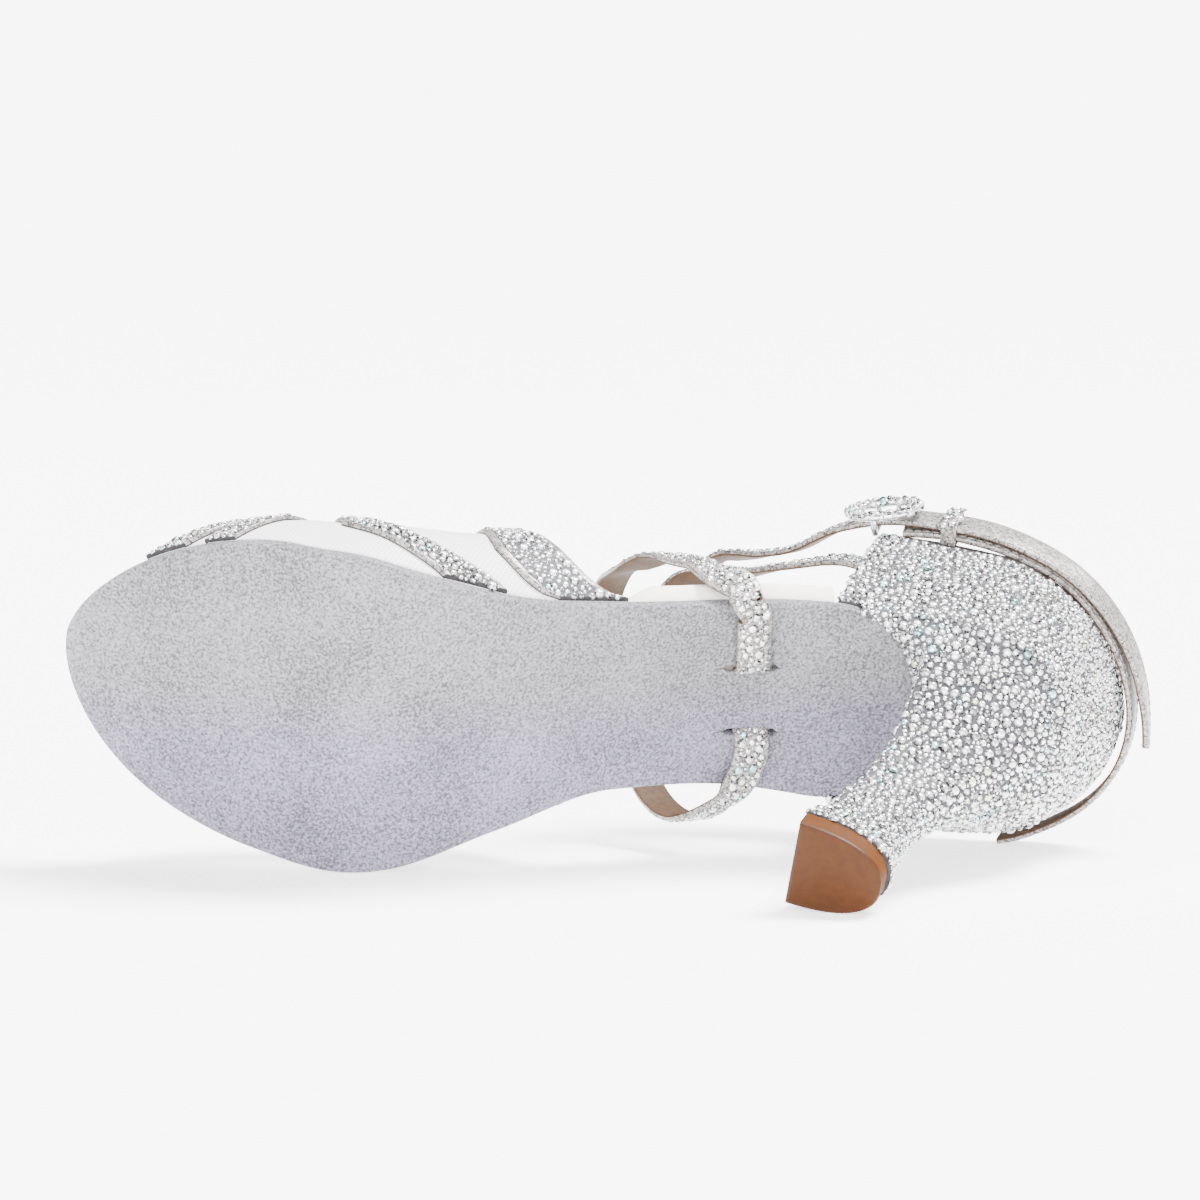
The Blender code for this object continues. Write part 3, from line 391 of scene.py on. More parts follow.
# Straps round the ankle: station (share of length), side (share of ball width), height over
# the heel seat (share of counter height), upward lean of the outer face
BACK_BAND = (
    (0.2523, 0.323, 0.864, 0.06),
    (0.2160, 0.342, 0.902, 0.06),
    (0.1640, 0.351, 0.927, 0.06),
    (0.1197, 0.338, 0.945, 0.06),
    (0.0690, 0.294, 0.958, 0.06),
    (0.0234, 0.198, 0.964, 0.05),
    (-0.0120, 0.072, 0.936, 0.04),
    (-0.0295, -0.055, 0.889, 0.02),
    (-0.0310, -0.171, 0.828, 0.00),
    (-0.0195, -0.273, 0.761, -0.05),
    (0.0046, -0.365, 0.700, -0.08),
    (0.0336, -0.432, 0.656, -0.10),
    (0.0599, -0.479, 0.622, -0.12),
    (0.0751, -0.498, 0.611, -0.12),
)
ANKLE_STRAP = (
    (0.2581, -0.374, 0.656, 0.00),
    (0.2857, -0.390, 0.681, 0.00),
    (0.3226, -0.386, 0.728, 0.05),
    (0.3917, -0.346, 0.797, 0.15),
    (0.4424, -0.228, 0.875, 0.30),
    (0.4654, -0.074, 0.911, 0.45),
    (0.4544, 0.030, 0.922, 0.45),
    (0.4115, 0.091, 0.894, 0.45),
    (0.3668, 0.160, 0.839, 0.40),
    (0.3203, 0.275, 0.815, 0.28),
    (0.2834, 0.332, 0.838, 0.15),
    (0.2608, 0.351, 0.874, 0.08),
    (0.2160, 0.369, 0.906, 0.06),
    (0.1641, 0.379, 0.933, 0.06),
    (0.1177, 0.364, 0.950, 0.06),
    (0.0654, 0.315, 0.972, 0.06),
    (0.0146, 0.215, 0.978, 0.05),
    (-0.0232, 0.083, 0.950, 0.04),
    (-0.0442, -0.037, 0.878, 0.02),
    (-0.0548, -0.116, 0.778, 0.00),
)
INSTEP_STRAP = (
    (0.2350, -0.353, 0.367, 0.00),
    (0.2765, -0.365, 0.406, 0.00),
    (0.3088, -0.378, 0.433, 0.00),
    (0.3502, -0.380, 0.461, 0.00),
    (0.4147, -0.340, 0.478, 0.10),
    (0.4677, -0.210, 0.506, 0.30),
    (0.4862, -0.062, 0.533, 0.42),
    (0.4770, 0.010, 0.561, 0.42),
    (0.4585, 0.036, 0.594, 0.42),
    (0.4129, 0.085, 0.622, 0.42),
    (0.3539, 0.172, 0.589, 0.38),
    (0.2949, 0.254, 0.528, 0.30),
    (0.2396, 0.267, 0.478, 0.22),
)
ANKLE_AXIS = (45 * MM, -2 * MM)
BUCKLE_AT = np.array((0.2745 * SHOE_LENGTH, 0.342 * BALL_WIDTH, HEEL_HEIGHT + 0.928 * COUNTER_HEIGHT))
KEEPER_AT = np.array((0.204 * SHOE_LENGTH, 0.380 * BALL_WIDTH, HEEL_HEIGHT + 0.990 * COUNTER_HEIGHT))


def lay(points):
    """Standing points turned and shifted to where the shoe lies."""
    return np.asarray(points) @ LAID.T + LAID_SHIFT


def unit(vectors):
    """Vectors scaled to length one."""
    return vectors / np.linalg.norm(vectors, axis=-1)[..., None]


def distances(line):
    """Distance of each point of a line from its start, along the line."""
    return np.concatenate([[0], np.cumsum(np.linalg.norm(np.diff(line, axis=0), axis=1))])


def full_turn(count):
    """Angles of evenly spaced points round a circle."""
    return np.linspace(0, 2 * np.pi, count + 1)[:-1]


def squared(value, power):
    """A cosine or sine drawn towards a square's corner: its size raised to a power, its sign kept."""
    return np.sign(value) * abs(value) ** power


def placed(points, place):
    """Points given in a frame on a strap, in the shoe's standing frame."""
    return points @ place[:3, :3].T + place[:3, 3]


def smooth(places, values, limited=True):
    """A smooth curve through the values; limited keeps it from swinging past them."""
    places = np.asarray(places, float)
    values = np.asarray(values, float)
    step = np.diff(places)
    slope = np.diff(values) / step
    tangent = np.empty_like(values)
    tangent[0] = slope[0]
    tangent[-1] = slope[-1]
    mean = (step[1:] * slope[:-1] + step[:-1] * slope[1:]) / (step[1:] + step[:-1])
    if limited:
        most = 3 * np.minimum(abs(slope[:-1]), abs(slope[1:]))
        turning = slope[:-1] * slope[1:] <= 0
        mean = np.where(turning, 0, np.clip(mean, -most, most))
    tangent[1:-1] = mean

    def value(at):
        """Height of the curve at a place: a cubic through both ends with their slopes."""
        at = np.clip(at, places[0], places[-1])
        i = np.clip(np.searchsorted(places, at) - 1, 0, len(step) - 1)
        t = (at - places[i]) / step[i]
        rise = values[i + 1] - values[i]
        start = tangent[i] * step[i]
        end = tangent[i + 1] * step[i]
        return values[i] + t * (start + t * (3 * rise - 2 * start - end + t * (start + end - 2 * rise)))

    return value


def column(table, number):
    """A smooth curve through one column of a table, over its first column."""
    rows = np.array(table)
    return smooth(rows[:, 0], rows[:, number])


half_width = {1: column(SOLE_SECTIONS, 1), -1: column(SOLE_SECTIONS, 2)}
underside = column(SOLE_SECTIONS, 3)
ridge = column(LAST_SECTIONS, 1)
bulge = {1: column(LAST_SECTIONS, 2), -1: column(LAST_SECTIONS, 3)}


def sole_height(x):
    """Height of the outsole's underside."""
    share = x / SHOE_LENGTH
    spring = np.clip((share - TREAD_END) / (1 - TREAD_END), 0, 1)
    return HEEL_HEIGHT * underside(share) + TOE_SPRING * spring**2


def sole_normal(x):
    """Unit vector square to the sole, upward, in the shoe's length plane."""
    slope = (sole_height(x + MM) - sole_height(x - MM)) / (2 * MM)
    return unit(np.stack([-slope, np.zeros_like(slope), np.ones_like(slope)], axis=-1))


def on_sole(plan, level):
    """Points over or under the sole's plan points, at a level square to the underside."""
    x = plan[..., 0]
    start = np.concatenate([plan, sole_height(x)[..., None]], axis=-1)
    return start + sole_normal(x) * np.asarray(level)[..., None]


def rounded(share, fullness):
    """Superellipse: 1 at share 0, falling to 0 at share 1."""
    return (1 - np.clip(share, 0, 1) ** fullness) ** (1 / fullness)


def sole_edge(x, side):
    """Sideways place of the sole's edge; side is 1 for lateral and -1 for medial."""
    share = np.clip(x / SHOE_LENGTH, 0, 1)
    y = side * BALL_WIDTH * half_width[side](share)
    toe = rounded((share - TOE_START) / (1 - TOE_START), TOE_FULLNESS[side])
    seat = rounded((SEAT_START - share) / SEAT_START, SEAT_FULLNESS)
    y = TOE_OFFSET + (y - TOE_OFFSET) * toe
    return SEAT_OFFSET + (y - SEAT_OFFSET) * seat


def stations(start, end, count):
    """Places from start to end, close together near both: half of one less a cosine's swing."""
    turn = np.linspace(0, np.pi, count)
    share = (1 - np.cos(turn)) / 2
    return start + (end - start) * (share * (1 - 2 * END_ROOM) + END_ROOM)


def offset_sides(lateral, medial, distance):
    """Both edges of an outline moved outward by a distance for each station."""
    outline = np.vstack([lateral, medial[::-1]])
    far = np.concatenate([distance, distance[::-1]])
    along = np.roll(outline, -1, axis=0) - np.roll(outline, 1, axis=0)
    along /= np.linalg.norm(along, axis=1)[:, None]
    outward = np.stack([-along[:, 1], along[:, 0]], axis=1)
    moved = outline + outward * far[:, None]
    count = len(lateral)
    return moved[:count], moved[count:][::-1]


def band_frame(centres, outward, closed):
    """Tangent, outer normal and width direction at each point of a strap's middle line."""
    if closed:
        along = np.roll(centres, -1, axis=0) - np.roll(centres, 1, axis=0)
    else:
        along = np.gradient(centres, axis=0)
    along = unit(along)
    across = unit(np.cross(outward, along))
    return along, np.cross(along, across), across


def resample(rows):
    """Points on a smooth curve through the rows, close where it turns."""
    rows = np.asarray(rows, float)
    places = distances(rows[:, :3])
    count = int(places[-1] / FINE_STEP) + 2
    at = np.linspace(0, places[-1], count)
    curve = np.stack([smooth(places, values, limited=False)(at) for values in rows.T], axis=1)
    along = unit(np.diff(curve[:, :3], axis=0))
    turns = np.arccos(np.clip((along[1:] * along[:-1]).sum(axis=1), -1, 1))
    kept = [0]
    turned = 0.0
    for i in range(1, count - 1):
        turned += turns[i - 1]
        if turned > MOST_TURN or (i - kept[-1]) * FINE_STEP > LONGEST_STEP:
            kept.append(i)
            turned = 0.0
    kept.append(count - 1)
    return curve[kept]


def outsole_sides(x):
    """Both edges of the outsole, with its round back end."""
    back = rounded((SOLE_BACK + SOLE_BACK_DEPTH - x) / SOLE_BACK_DEPTH, 2)
    edges = [sole_edge(x, side) for side in (1, -1)]
    middle = (edges[0] + edges[1]) / 2
    return [np.stack([x, middle + (edge - middle) * back], axis=1) for edge in edges]


def slit_cutter(side):
    """Slot right through the sole: as wide as the strap needs, drawn out to a thin cut each way."""
    centre_y = side * (SLIT_OFFSET + SLIT_SHIFT)
    half, wide = SLIT_LENGTH / 2, STRAP_WIDTH / 2 + 2 * GAP
    front = [(half, SLIT_POINT), (wide + SLIT_TAPER, SLIT_CUT), (wide, SLIT_ROOM)]
    edge = np.array(front + [(-x, y) for x, y in front[::-1]])
    corners = np.vstack([edge, edge[::-1] * (1, -1)]) + (ARCH_STATION + ARCH_SLANT * centre_y, centre_y)
    reach = 2 * OUTSOLE_THICKNESS
    return block("slit_cutter", np.vstack([on_sole(corners, -reach), on_sole(corners, reach)]), len(corners))


def channel_cutter():
    """Room for the strap between the slits, open upward."""
    across = STRAP_WIDTH / 2 + 2 * GAP
    corners = []
    for u, v in ((-1, -1), (1, -1), (1, 1), (-1, 1)):
        y = v * SLIT_OFFSET
        corners.append((ARCH_STATION + ARCH_SLANT * y + u * across, y))
    corners = np.array(corners)
    points = np.vstack([on_sole(corners, BRIDGE_THICKNESS), on_sole(corners, 2 * OUTSOLE_THICKNESS)])
    return block("channel_cutter", points, 4)


def seat_ring(level, front_count, rear_count):
    """Rim of the heel's top: round the seat, and back along the outsole's round end."""
    x = stations(SOLE_BACK - GAP, 2 * WING_TIP - SOLE_BACK + GAP, front_count)[: front_count // 2][::-1]
    rear = stations(0, 2 * SOLE_BACK, rear_count)[: rear_count // 2][::-1]
    edge_x = np.concatenate([x, rear])
    outer = {side: np.stack([edge_x, sole_edge(edge_x, side)], axis=1) for side in (1, -1)}
    depth = SOLE_BACK_DEPTH + GAP
    share = rounded((SOLE_BACK - GAP + depth - x) / depth, 2)
    middle = (sole_edge(x, 1) + sole_edge(x, -1)) / 2
    front = {}
    for side in (1, -1):
        reach = (sole_edge(x, side) - middle) * share
        front[side] = np.stack([x, middle + reach + side * GAP * share], axis=1)
    ring = np.vstack([outer[1], outer[-1][::-1], front[-1], front[1][::-1]])
    return on_sole(ring, level), len(x), len(edge_x)


def heel_ring(height, front, back, width, offset, count_front, count_edge):
    """Level D-shaped section of the heel, point for point like the seat's ring."""
    turn = np.linspace(0, np.pi / 2, count_edge)
    y = width / 2 * np.cos(turn) ** (2 / HEEL_FULLNESS)
    x = front - (front - back) * np.sin(turn) ** (2 / HEEL_FULLNESS)
    lateral = np.column_stack([x, y])
    medial = np.column_stack([x, -y])
    breast = np.linspace(1, BREAST_MIDDLE, count_front) * BREAST_SHARE * width / 2
    front_medial = np.column_stack([np.full(count_front, front), -breast])
    front_lateral = np.column_stack([np.full(count_front, front), breast])
    ring = np.vstack([lateral, medial[::-1], front_medial, front_lateral[::-1]])
    ring[:, 1] += offset
    return np.column_stack([ring, np.full(len(ring), height)])


def counter_outline(straight, bent):
    """Seat edge from the lateral front corner round the back to the medial one."""
    edge_x = np.concatenate([
        np.linspace(COUNTER_FRONT, BACK_START, straight)[:-1],
        stations(0, 2 * BACK_START, bent)[: bent // 2][::-1],
    ])
    lateral = np.column_stack([edge_x, sole_edge(edge_x, 1)])
    medial = np.column_stack([edge_x, sole_edge(edge_x, -1)])
    outline = np.vstack([lateral, medial[::-1]])
    steps = np.linalg.norm(np.diff(outline, axis=0), axis=1)
    share = np.concatenate([[0], np.cumsum(steps)]) / steps.sum()
    along = unit(np.gradient(outline, axis=0))
    outward = np.stack([along[:, 1], -along[:, 0]], axis=1)
    return outline, share, outward


def last_point(x, turn):
    """Inner face of the upper: turn is 0 at the lateral edge of the sole and pi at the medial."""
    side_width = {}
    share = x / SHOE_LENGTH
    swell = 1 - (1 - np.clip(np.sin(turn) / SWELL_RISE, 0, 1)) ** 2
    for side in (1, -1):
        feather = abs(sole_edge(x, side)) - VAMP_WALL - GAP
        side_width[side] = feather + bulge[side](share) * BALL_WIDTH * swell
    curve = 2 / UPPER_FULLNESS
    cosine = np.cos(turn)
    y = np.where(cosine > 0, side_width[1], -side_width[-1]) * abs(cosine) ** curve
    up = np.clip(np.sin(turn), 0, 1)
    y = y + RIDGE_SHIFT * up**2
    foot = on_sole(np.stack([x, y], axis=-1), OUTSOLE_THICKNESS + GAP)
    rise = INSOLE_THICKNESS + ridge(share) * INSTEP_HEIGHT
    foot[..., 2] += rise * up**curve
    return foot


def last_normal(x, turn):
    """Outward unit vector of the upper's inner face, level along the sole's edge."""
    along = last_point(x + PROBE, turn) - last_point(x - PROBE, turn)
    low = np.clip(turn - PROBE_TURN, 0, np.pi)
    high = np.clip(turn + PROBE_TURN, 0, np.pi)
    around = last_point(x, high) - last_point(x, low)
    normal = unit(np.cross(around, along))
    edge = np.clip(np.minimum(turn, np.pi - turn) / LEVEL_TURN, 0, 1)
    square = sole_normal(x)
    out = (normal * square).sum(axis=-1) * (1 - edge)
    return unit(normal - square * out[..., None])


def opening_edge(edge, turn):
    """Station of the toe opening or the throat, at a turn over the vamp."""
    start, run, steepness = edge
    return SHOE_LENGTH * (start + run * np.clip(np.sin(turn), 0, 1) ** steepness)


def strip_width(centre, turn):
    """Length along the shoe that gives a slanted strip its true width."""
    line = last_point(centre, turn)
    along = np.gradient(centre)
    run = np.linalg.norm(np.gradient(line, axis=0), axis=1)
    level = np.clip(abs(along) / run, 0, MOST_SLANT)
    return STRIP_WIDTH / np.sqrt(1 - level**2)


def under_foot(y, level):
    """Point on the arch strap's line across the sole, at a level square to the underside."""
    return on_sole(np.array([ARCH_STATION + ARCH_SLANT * y, y]), level)


def arch_path():
    """Middle line of the arch strap, all round, and its outward directions."""
    outside = -3 * GAP - STRAP_THICKNESS / 2
    inside = BRIDGE_THICKNESS + GAP + STRAP_THICKNESS / 2
    bend = np.linspace(0, 1, BEND_POINTS)
    through = [(0.0, inside), (0.5 * SLIT_OFFSET, inside)]
    for y, drop in zip(SLIT_OFFSET + SLIT_BEND * (2 * bend - 1), bend**2 * (3 - 2 * bend)):
        through.append((y, inside + (outside - inside) * drop))
    through.append((FLAT_START * SLIT_OFFSET, outside))
    rows = [under_foot(y, level) for y, level in through]
    rows += [under_foot(share * sole_edge(ARCH_STATION, 1), outside) for share in FLAT_REACHES]
    for station, side, height in ARCH_RING:
        x = station * SHOE_LENGTH
        rows.append((x, side * BALL_WIDTH, sole_height(x) + height * INSTEP_HEIGHT))
    rows += [under_foot(-y, level) for y, level in through[:0:-1]]
    rows.append(rows[0])
    centres = resample(rows)[:-1]
    outward = []
    for x, y, z in centres:
        level = z - sole_height(x) - RING_AXIS
        beside = min(1, abs(y) / sole_edge(x, 1)) ** BESIDE_POWER
        outward.append(np.array([0, y * beside, 0]) + sole_normal(x) * level)
    return centres, np.array(outward)


def ankle_path(table):
    """Middle line and outward directions of a strap round the ankle."""
    rows = []
    for station, side, height, lean in table:
        z = HEEL_HEIGHT + OUTSOLE_THICKNESS + height * COUNTER_HEIGHT
        rows.append((station * SHOE_LENGTH, side * BALL_WIDTH, z, lean))
    line = resample(rows)
    centres = line[:, :3]
    outward = unit(centres[:, :2] - np.array(ANKLE_AXIS))
    return centres, np.column_stack([outward, line[:, 3]])


def place_on(centres, outward, at, lift):
    """Frame on a strap: a point lifted off its outer face, and the frame's three directions."""
    steps = np.diff(centres, axis=0)
    share = np.clip(((at - centres[:-1]) * steps).sum(axis=1) / (steps**2).sum(axis=1), 0, 1)
    spots = centres[:-1] + steps * share[:, None]
    i = int(np.argmin(np.linalg.norm(spots - at, axis=1)))
    fields = band_frame(centres, outward, False)
    along, normal, across = [unit(field[i] * (1 - share[i]) + field[i + 1] * share[i]) for field in fields]
    turn = Matrix(np.column_stack([along, across, normal]).tolist()).to_4x4()
    return Matrix.Translation((spots[i] + normal * lift).tolist()) @ turn


def ring_faces(rows, sides, closed=False):
    """Quads between consecutive rows of a grid whose rows are closed rings."""
    row = np.arange(rows if closed else rows - 1)[:, None]
    side = np.arange(sides)[None, :]
    after, beside = (row + 1) % rows, (side + 1) % sides
    quads = np.stack([
        row * sides + side, row * sides + beside, after * sides + beside, after * sides + side,
    ], axis=-1)
    return quads.reshape(-1, 4)


def grid_faces(rows, lanes):
    """Quads of an open grid."""
    row, lane = np.meshgrid(np.arange(rows - 1), np.arange(lanes - 1), indexing="ij")
    start = row * lanes + lane
    return np.stack([start, start + 1, start + lanes + 1, start + lanes], axis=-1).reshape(-1, 4)


def tube_faces(rows, sides, inward=False):
    """Quads of a tube of rings and its two ends; inward turns the ends the other way."""
    side = np.arange(sides)[:: 1 if inward else -1]
    return [ring_faces(rows, sides), np.array([side, (rows - 1) * sides + side[::-1]])]


def rim_of(grid):
    """Numbers round the edge of a grid of vertex numbers."""
    return np.concatenate([grid[:, 0], grid[-1, 1:-1], grid[::-1, -1], grid[0, -2:0:-1]])


def new_piece(name, points, faces, looks, marks=None, attributes=None):
    """Piece in the lying frame: faces are arrays of corners, marks pick each face's look."""
    mesh = bpy.data.meshes.new(name)
    loops = np.concatenate([np.asarray(block).ravel() for block in faces])
    counts = np.concatenate([np.full(len(block), len(block[0])) for block in faces])
    mesh.vertices.add(len(points))
    mesh.vertices.foreach_set("co", lay(points).astype(np.float32).ravel())
    mesh.loops.add(len(loops))
    mesh.loops.foreach_set("vertex_index", loops.astype(np.int32))
    mesh.polygons.add(len(counts))
    mesh.polygons.foreach_set("loop_start", (np.cumsum(counts) - counts).astype(np.int32))
    for name_of_look in looks:
        mesh.materials.append(look(name_of_look))
    if marks is not None:
        mesh.polygons.foreach_set("material_index", np.asarray(marks, np.int32))
    for label, (kind, domain, values) in (attributes or {}).items():
        layer = mesh.attributes.new(label, kind, domain)
        key = "value" if kind == "FLOAT" else "color"
        layer.data.foreach_set(key, np.asarray(values, np.float32).ravel())
    mesh.update(calc_edges=True)
    mesh.validate()
    piece = bpy.data.objects.new(name, mesh)
    bpy.context.scene.collection.objects.link(piece)
    return piece


def settle(piece, slot, *nodes):
    """The piece rides on the shoe, in the place of its solids."""
    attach(piece, "root")
    if nodes:
        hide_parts(*nodes)
    return piece


def finish(piece, angle, slot, *nodes):
    """Faces turned outward, smooth shading with edges past the angle kept sharp, and settled."""
    face_out(piece)
    piece.data.shade_smooth()
    if angle:
        piece.data.set_sharp_from_angle(angle=angle)
    return settle(piece, slot, *nodes)


def uv_from_grid(piece, u, v):
    """UV map from two values for each vertex."""
    mesh = piece.data
    layer = mesh.uv_layers.new(name="weave")
    corner = np.zeros(len(mesh.loops), np.int32)
    mesh.loops.foreach_get("vertex_index", corner)
    pair = np.stack([np.ravel(u)[corner], np.ravel(v)[corner]], axis=1)
    layer.data.foreach_set("uv", pair.astype(np.float32).ravel())


def plate(loops, across):
    """Points and faces of a closed plate: each loop is (both edges, level), from under to over.

    Edge points are carried up from loop to loop, and the first and last loops are filled with
    straight lanes from the lateral to the medial edge.
    """
    lanes = np.linspace(0, 1, across + 1)[None, :, None]
    points, faces, count = [], [], 0
    rows, wide = len(loops[0][0][0]), across + 1
    caps = []
    for (lateral, medial), level in (loops[0], loops[-1]):
        plan = lateral[:, None] * (1 - lanes) + medial[:, None] * lanes
        points.append(on_sole(plan, level).reshape(-1, 3))
        caps.append(count + np.arange(rows * wide).reshape(rows, wide))
        faces.append(grid_faces(rows, wide) + count)
        count += rows * wide
    rims = [rim_of(cap) for cap in caps]
    rings = [rims[0]]
    for (lateral, medial), level in loops[1:-1]:
        front = lateral[-1] * (1 - lanes[0, 1:-1]) + medial[-1] * lanes[0, 1:-1]
        back = medial[0] * (1 - lanes[0, 1:-1]) + lateral[0] * lanes[0, 1:-1]
        ring = np.vstack([lateral, front, medial[::-1], back])
        points.append(on_sole(ring, level))
        rings.append(count + np.arange(len(ring)))
        count += len(ring)
    rings.append(rims[1])
    for low, high in zip(rings[:-1], rings[1:]):
        faces.append(np.stack([low, np.roll(low, -1), np.roll(high, -1), high], axis=1))
    return np.vstack(points), [np.vstack(faces)]


def face_out(piece):
    """Faces of a closed piece turned outward."""
    shape = bmesh.new()
    shape.from_mesh(piece.data)
    bmesh.ops.recalc_face_normals(shape, faces=shape.faces)
    shape.to_mesh(piece.data)
    shape.free()


def carve(piece, cutters):
    """Cuts the cutters out of the piece and removes them."""
    for cutter in cutters:
        face_out(cutter)
        cut = piece.modifiers.new("cut", "BOOLEAN")
        cut.operation = "DIFFERENCE"
        cut.solver = "EXACT"
        cut.object = cutter
    bpy.context.view_layer.update()
    graph = bpy.context.evaluated_depsgraph_get()
    carved = bpy.data.meshes.new_from_object(piece.evaluated_get(graph))
    piece.modifiers.clear()
    piece.data = carved
    for cutter in cutters:
        bpy.data.objects.remove(cutter)


# Stones


def clear_of(spot, radius, near, crowding):
    """Whether a stone at the spot clears the stones near it, by crowding times both radii."""
    x, y, z = spot
    for px, py, pz, other in near:
        reach = (radius + other) * crowding
        if (x - px) ** 2 + (y - py) ** 2 + (z - pz) ** 2 < reach * reach:
            return False
    return True


def scatter(points, normals, radii, crowding, seed):
    """Spots for stones: large ones first, each kept where it clears those kept before it.

    Kept stones are looked up in cubes as wide as the largest stone, so only the cubes round a
    spot are searched.
    """
    random = np.random.default_rng(seed)
    cell = 2 * max(radii) * crowding
    taken, kept = {}, []
    for radius, share in radii.items():
        for i in random.permutation(len(points))[: int(len(points) * share)]:
            a, b, c = (int(value // cell) for value in points[i])
            near = (stone for u, v, w in NEIGHBOURS for stone in taken.get((a + u, b + v, c + w), ()))
            if clear_of(points[i], radius, near, crowding):
                taken.setdefault((a, b, c), []).append((*points[i], radius))
                kept.append((i, radius))
    index = np.array([i for i, _ in kept])
    return points[index], normals[index], np.array([radius for _, radius in kept])


def stone_field(grid, counts, seed):
    """Random points on a grid surface with their normals, evenly spread by area."""
    random = np.random.default_rng(seed)
    a, b = grid[:-1, :-1], grid[1:, :-1]
    c, d = grid[1:, 1:], grid[:-1, 1:]
    square = np.cross(c - a, d - b)
    area = np.linalg.norm(square, axis=-1).ravel()
    normal = unit(square.reshape(-1, 3))
    cell = random.choice(len(area), size=counts, p=area / area.sum())
    u, v = random.random((2, counts, 1))
    flat = [corner.reshape(-1, 3)[cell] for corner in (a, b, c, d)]
    spots = (flat[0] * (1 - u) + flat[1] * u) * (1 - v) + (flat[3] * (1 - u) + flat[2] * u) * v
    return spots, normal[cell]


def stone_glints_and_tints(count, corners, random):
    """Painted reflections and hue of every face: crown facets one by one, then the tables, then the backs.

    A facet is painted dim or bright, as a painted reflection, by its own draw, a table by its stone's, and a
    few stones are tinted.
    """
    own = random.random(count)
    spark = random.random((count, corners))
    bright = 0.2 + 0.8 * spark * (0.6 + 0.4 * own[:, None])
    facet = np.where(spark < DIM_FACETS, 0.03 + 0.25 * spark, bright)
    table = np.where(own < DIM_TABLES, 0.1 + own, 0.45 + 0.55 * own)
    grey = np.concatenate([facet.ravel(), table, np.full(count, 0.1)])
    pick = random.random(count)
    hue = np.ones((count, 3))
    low = 0.0
    for high, tint in STONE_TINTS:
        hue[(pick > low) & (pick < high)] = tint
        low = high
    hues = np.concatenate([np.repeat(hue, corners, axis=0), hue, hue])
    return np.column_stack([hues * grey[:, None], np.ones(len(grey))])


def stone_mesh(name, spots, normals, radii, seed):
    """One joined mesh of cut stones.

    Each stone has an eight-sided girdle, a smaller eight-sided table turned by half a side over
    it, triangles between them and a flat back.
    """
    random = np.random.default_rng(seed)
    count, sides, corners = len(spots), STONE_SIDES, 2 * STONE_SIDES
    turn = np.arange(sides) * 2 * np.pi / sides
    half = turn + np.pi / sides
    girdle = np.stack([np.cos(turn), np.sin(turn), np.full(sides, -GIRDLE_DEPTH)], axis=1)
    across, up = TABLE_REACH * np.cos(half), TABLE_REACH * np.sin(half)
    table = np.stack([across, up, np.full(sides, TABLE_RISE)], axis=1)
    side = unit(np.cross(normals, unit(random.normal(size=(count, 3)))))
    lean = unit(normals + STONE_LEAN * random.normal(size=(count, 3)))
    side = unit(side - lean * (side * lean).sum(axis=1)[:, None])
    frames = np.stack([side, np.cross(lean, side), lean], axis=1)
    scaled = np.vstack([girdle, table])[None] * radii[:, None, None]
    points = (spots[:, None] + scaled @ frames).reshape(-1, 3)
    ring = np.arange(sides)
    after, start = (ring + 1) % sides, (np.arange(count) * corners)[:, None, None]
    crown = np.vstack([
        np.stack([ring, after, sides + ring], axis=1), np.stack([after, sides + after, sides + ring], axis=1),
    ])
    faces = [
        (crown[None] + start).reshape(-1, 3), (sides + ring[None, None] + start).reshape(-1, sides),
        (ring[::-1][None, None] + start).reshape(-1, sides),
    ]
    # The faces' tones are painted reflections, dim or bright facet by facet, with a few tinted stones
    tones = {"sparkle": ("FLOAT_COLOR", "FACE", stone_glints_and_tints(count, corners, random))}
    return new_piece(name, points, faces, ["cut_stones"], attributes=tones)


# Materials


def adder(tree):
    """A function that adds a node to the tree, with its settings and its links."""

    def add(kind, settings=(), links=(), **properties):
        """New node with its properties, the values of its sockets and links into them."""
        node = tree.nodes.new(kind)
        for key, value in properties.items():
            setattr(node, key, value)
        for key, value in settings:
            node.inputs[key].default_value = value
        for key, source in links:
            tree.links.new(source, node.inputs[key])
        return node

    return add


def shader(name):
    """New material with its Principled shader and a short way to add linked nodes."""
    made = bpy.data.materials.new(name)
    made.use_nodes = True
    return made, made.node_tree.nodes["Principled BSDF"], adder(made.node_tree)


def blend(add, share, low, high):
    """Output of a colour mix, from low at share 0 to high at share 1."""
    mix = add("ShaderNodeMix", [(6, (*low, 1)), (7, (*high, 1))], [(0, share)], data_type="RGBA")
    return mix.outputs[2]


def cover(made, add, colour, height, strength, depth):
    """The material's colour from one output, and its relief from another."""
    tree = made.node_tree
    principled = tree.nodes["Principled BSDF"]
    tree.links.new(colour, principled.inputs["Base Color"])
    relief = add("ShaderNodeBump", [("Strength", strength), ("Distance", depth)], [("Height", height)])
    tree.links.new(relief.outputs[0], principled.inputs["Normal"])


def set_inputs(principled, **values):
    """Values on the shader's own sockets, named with _ for a space."""
    for key, value in values.items():
        principled.inputs[key.replace("_", " ")].default_value = value


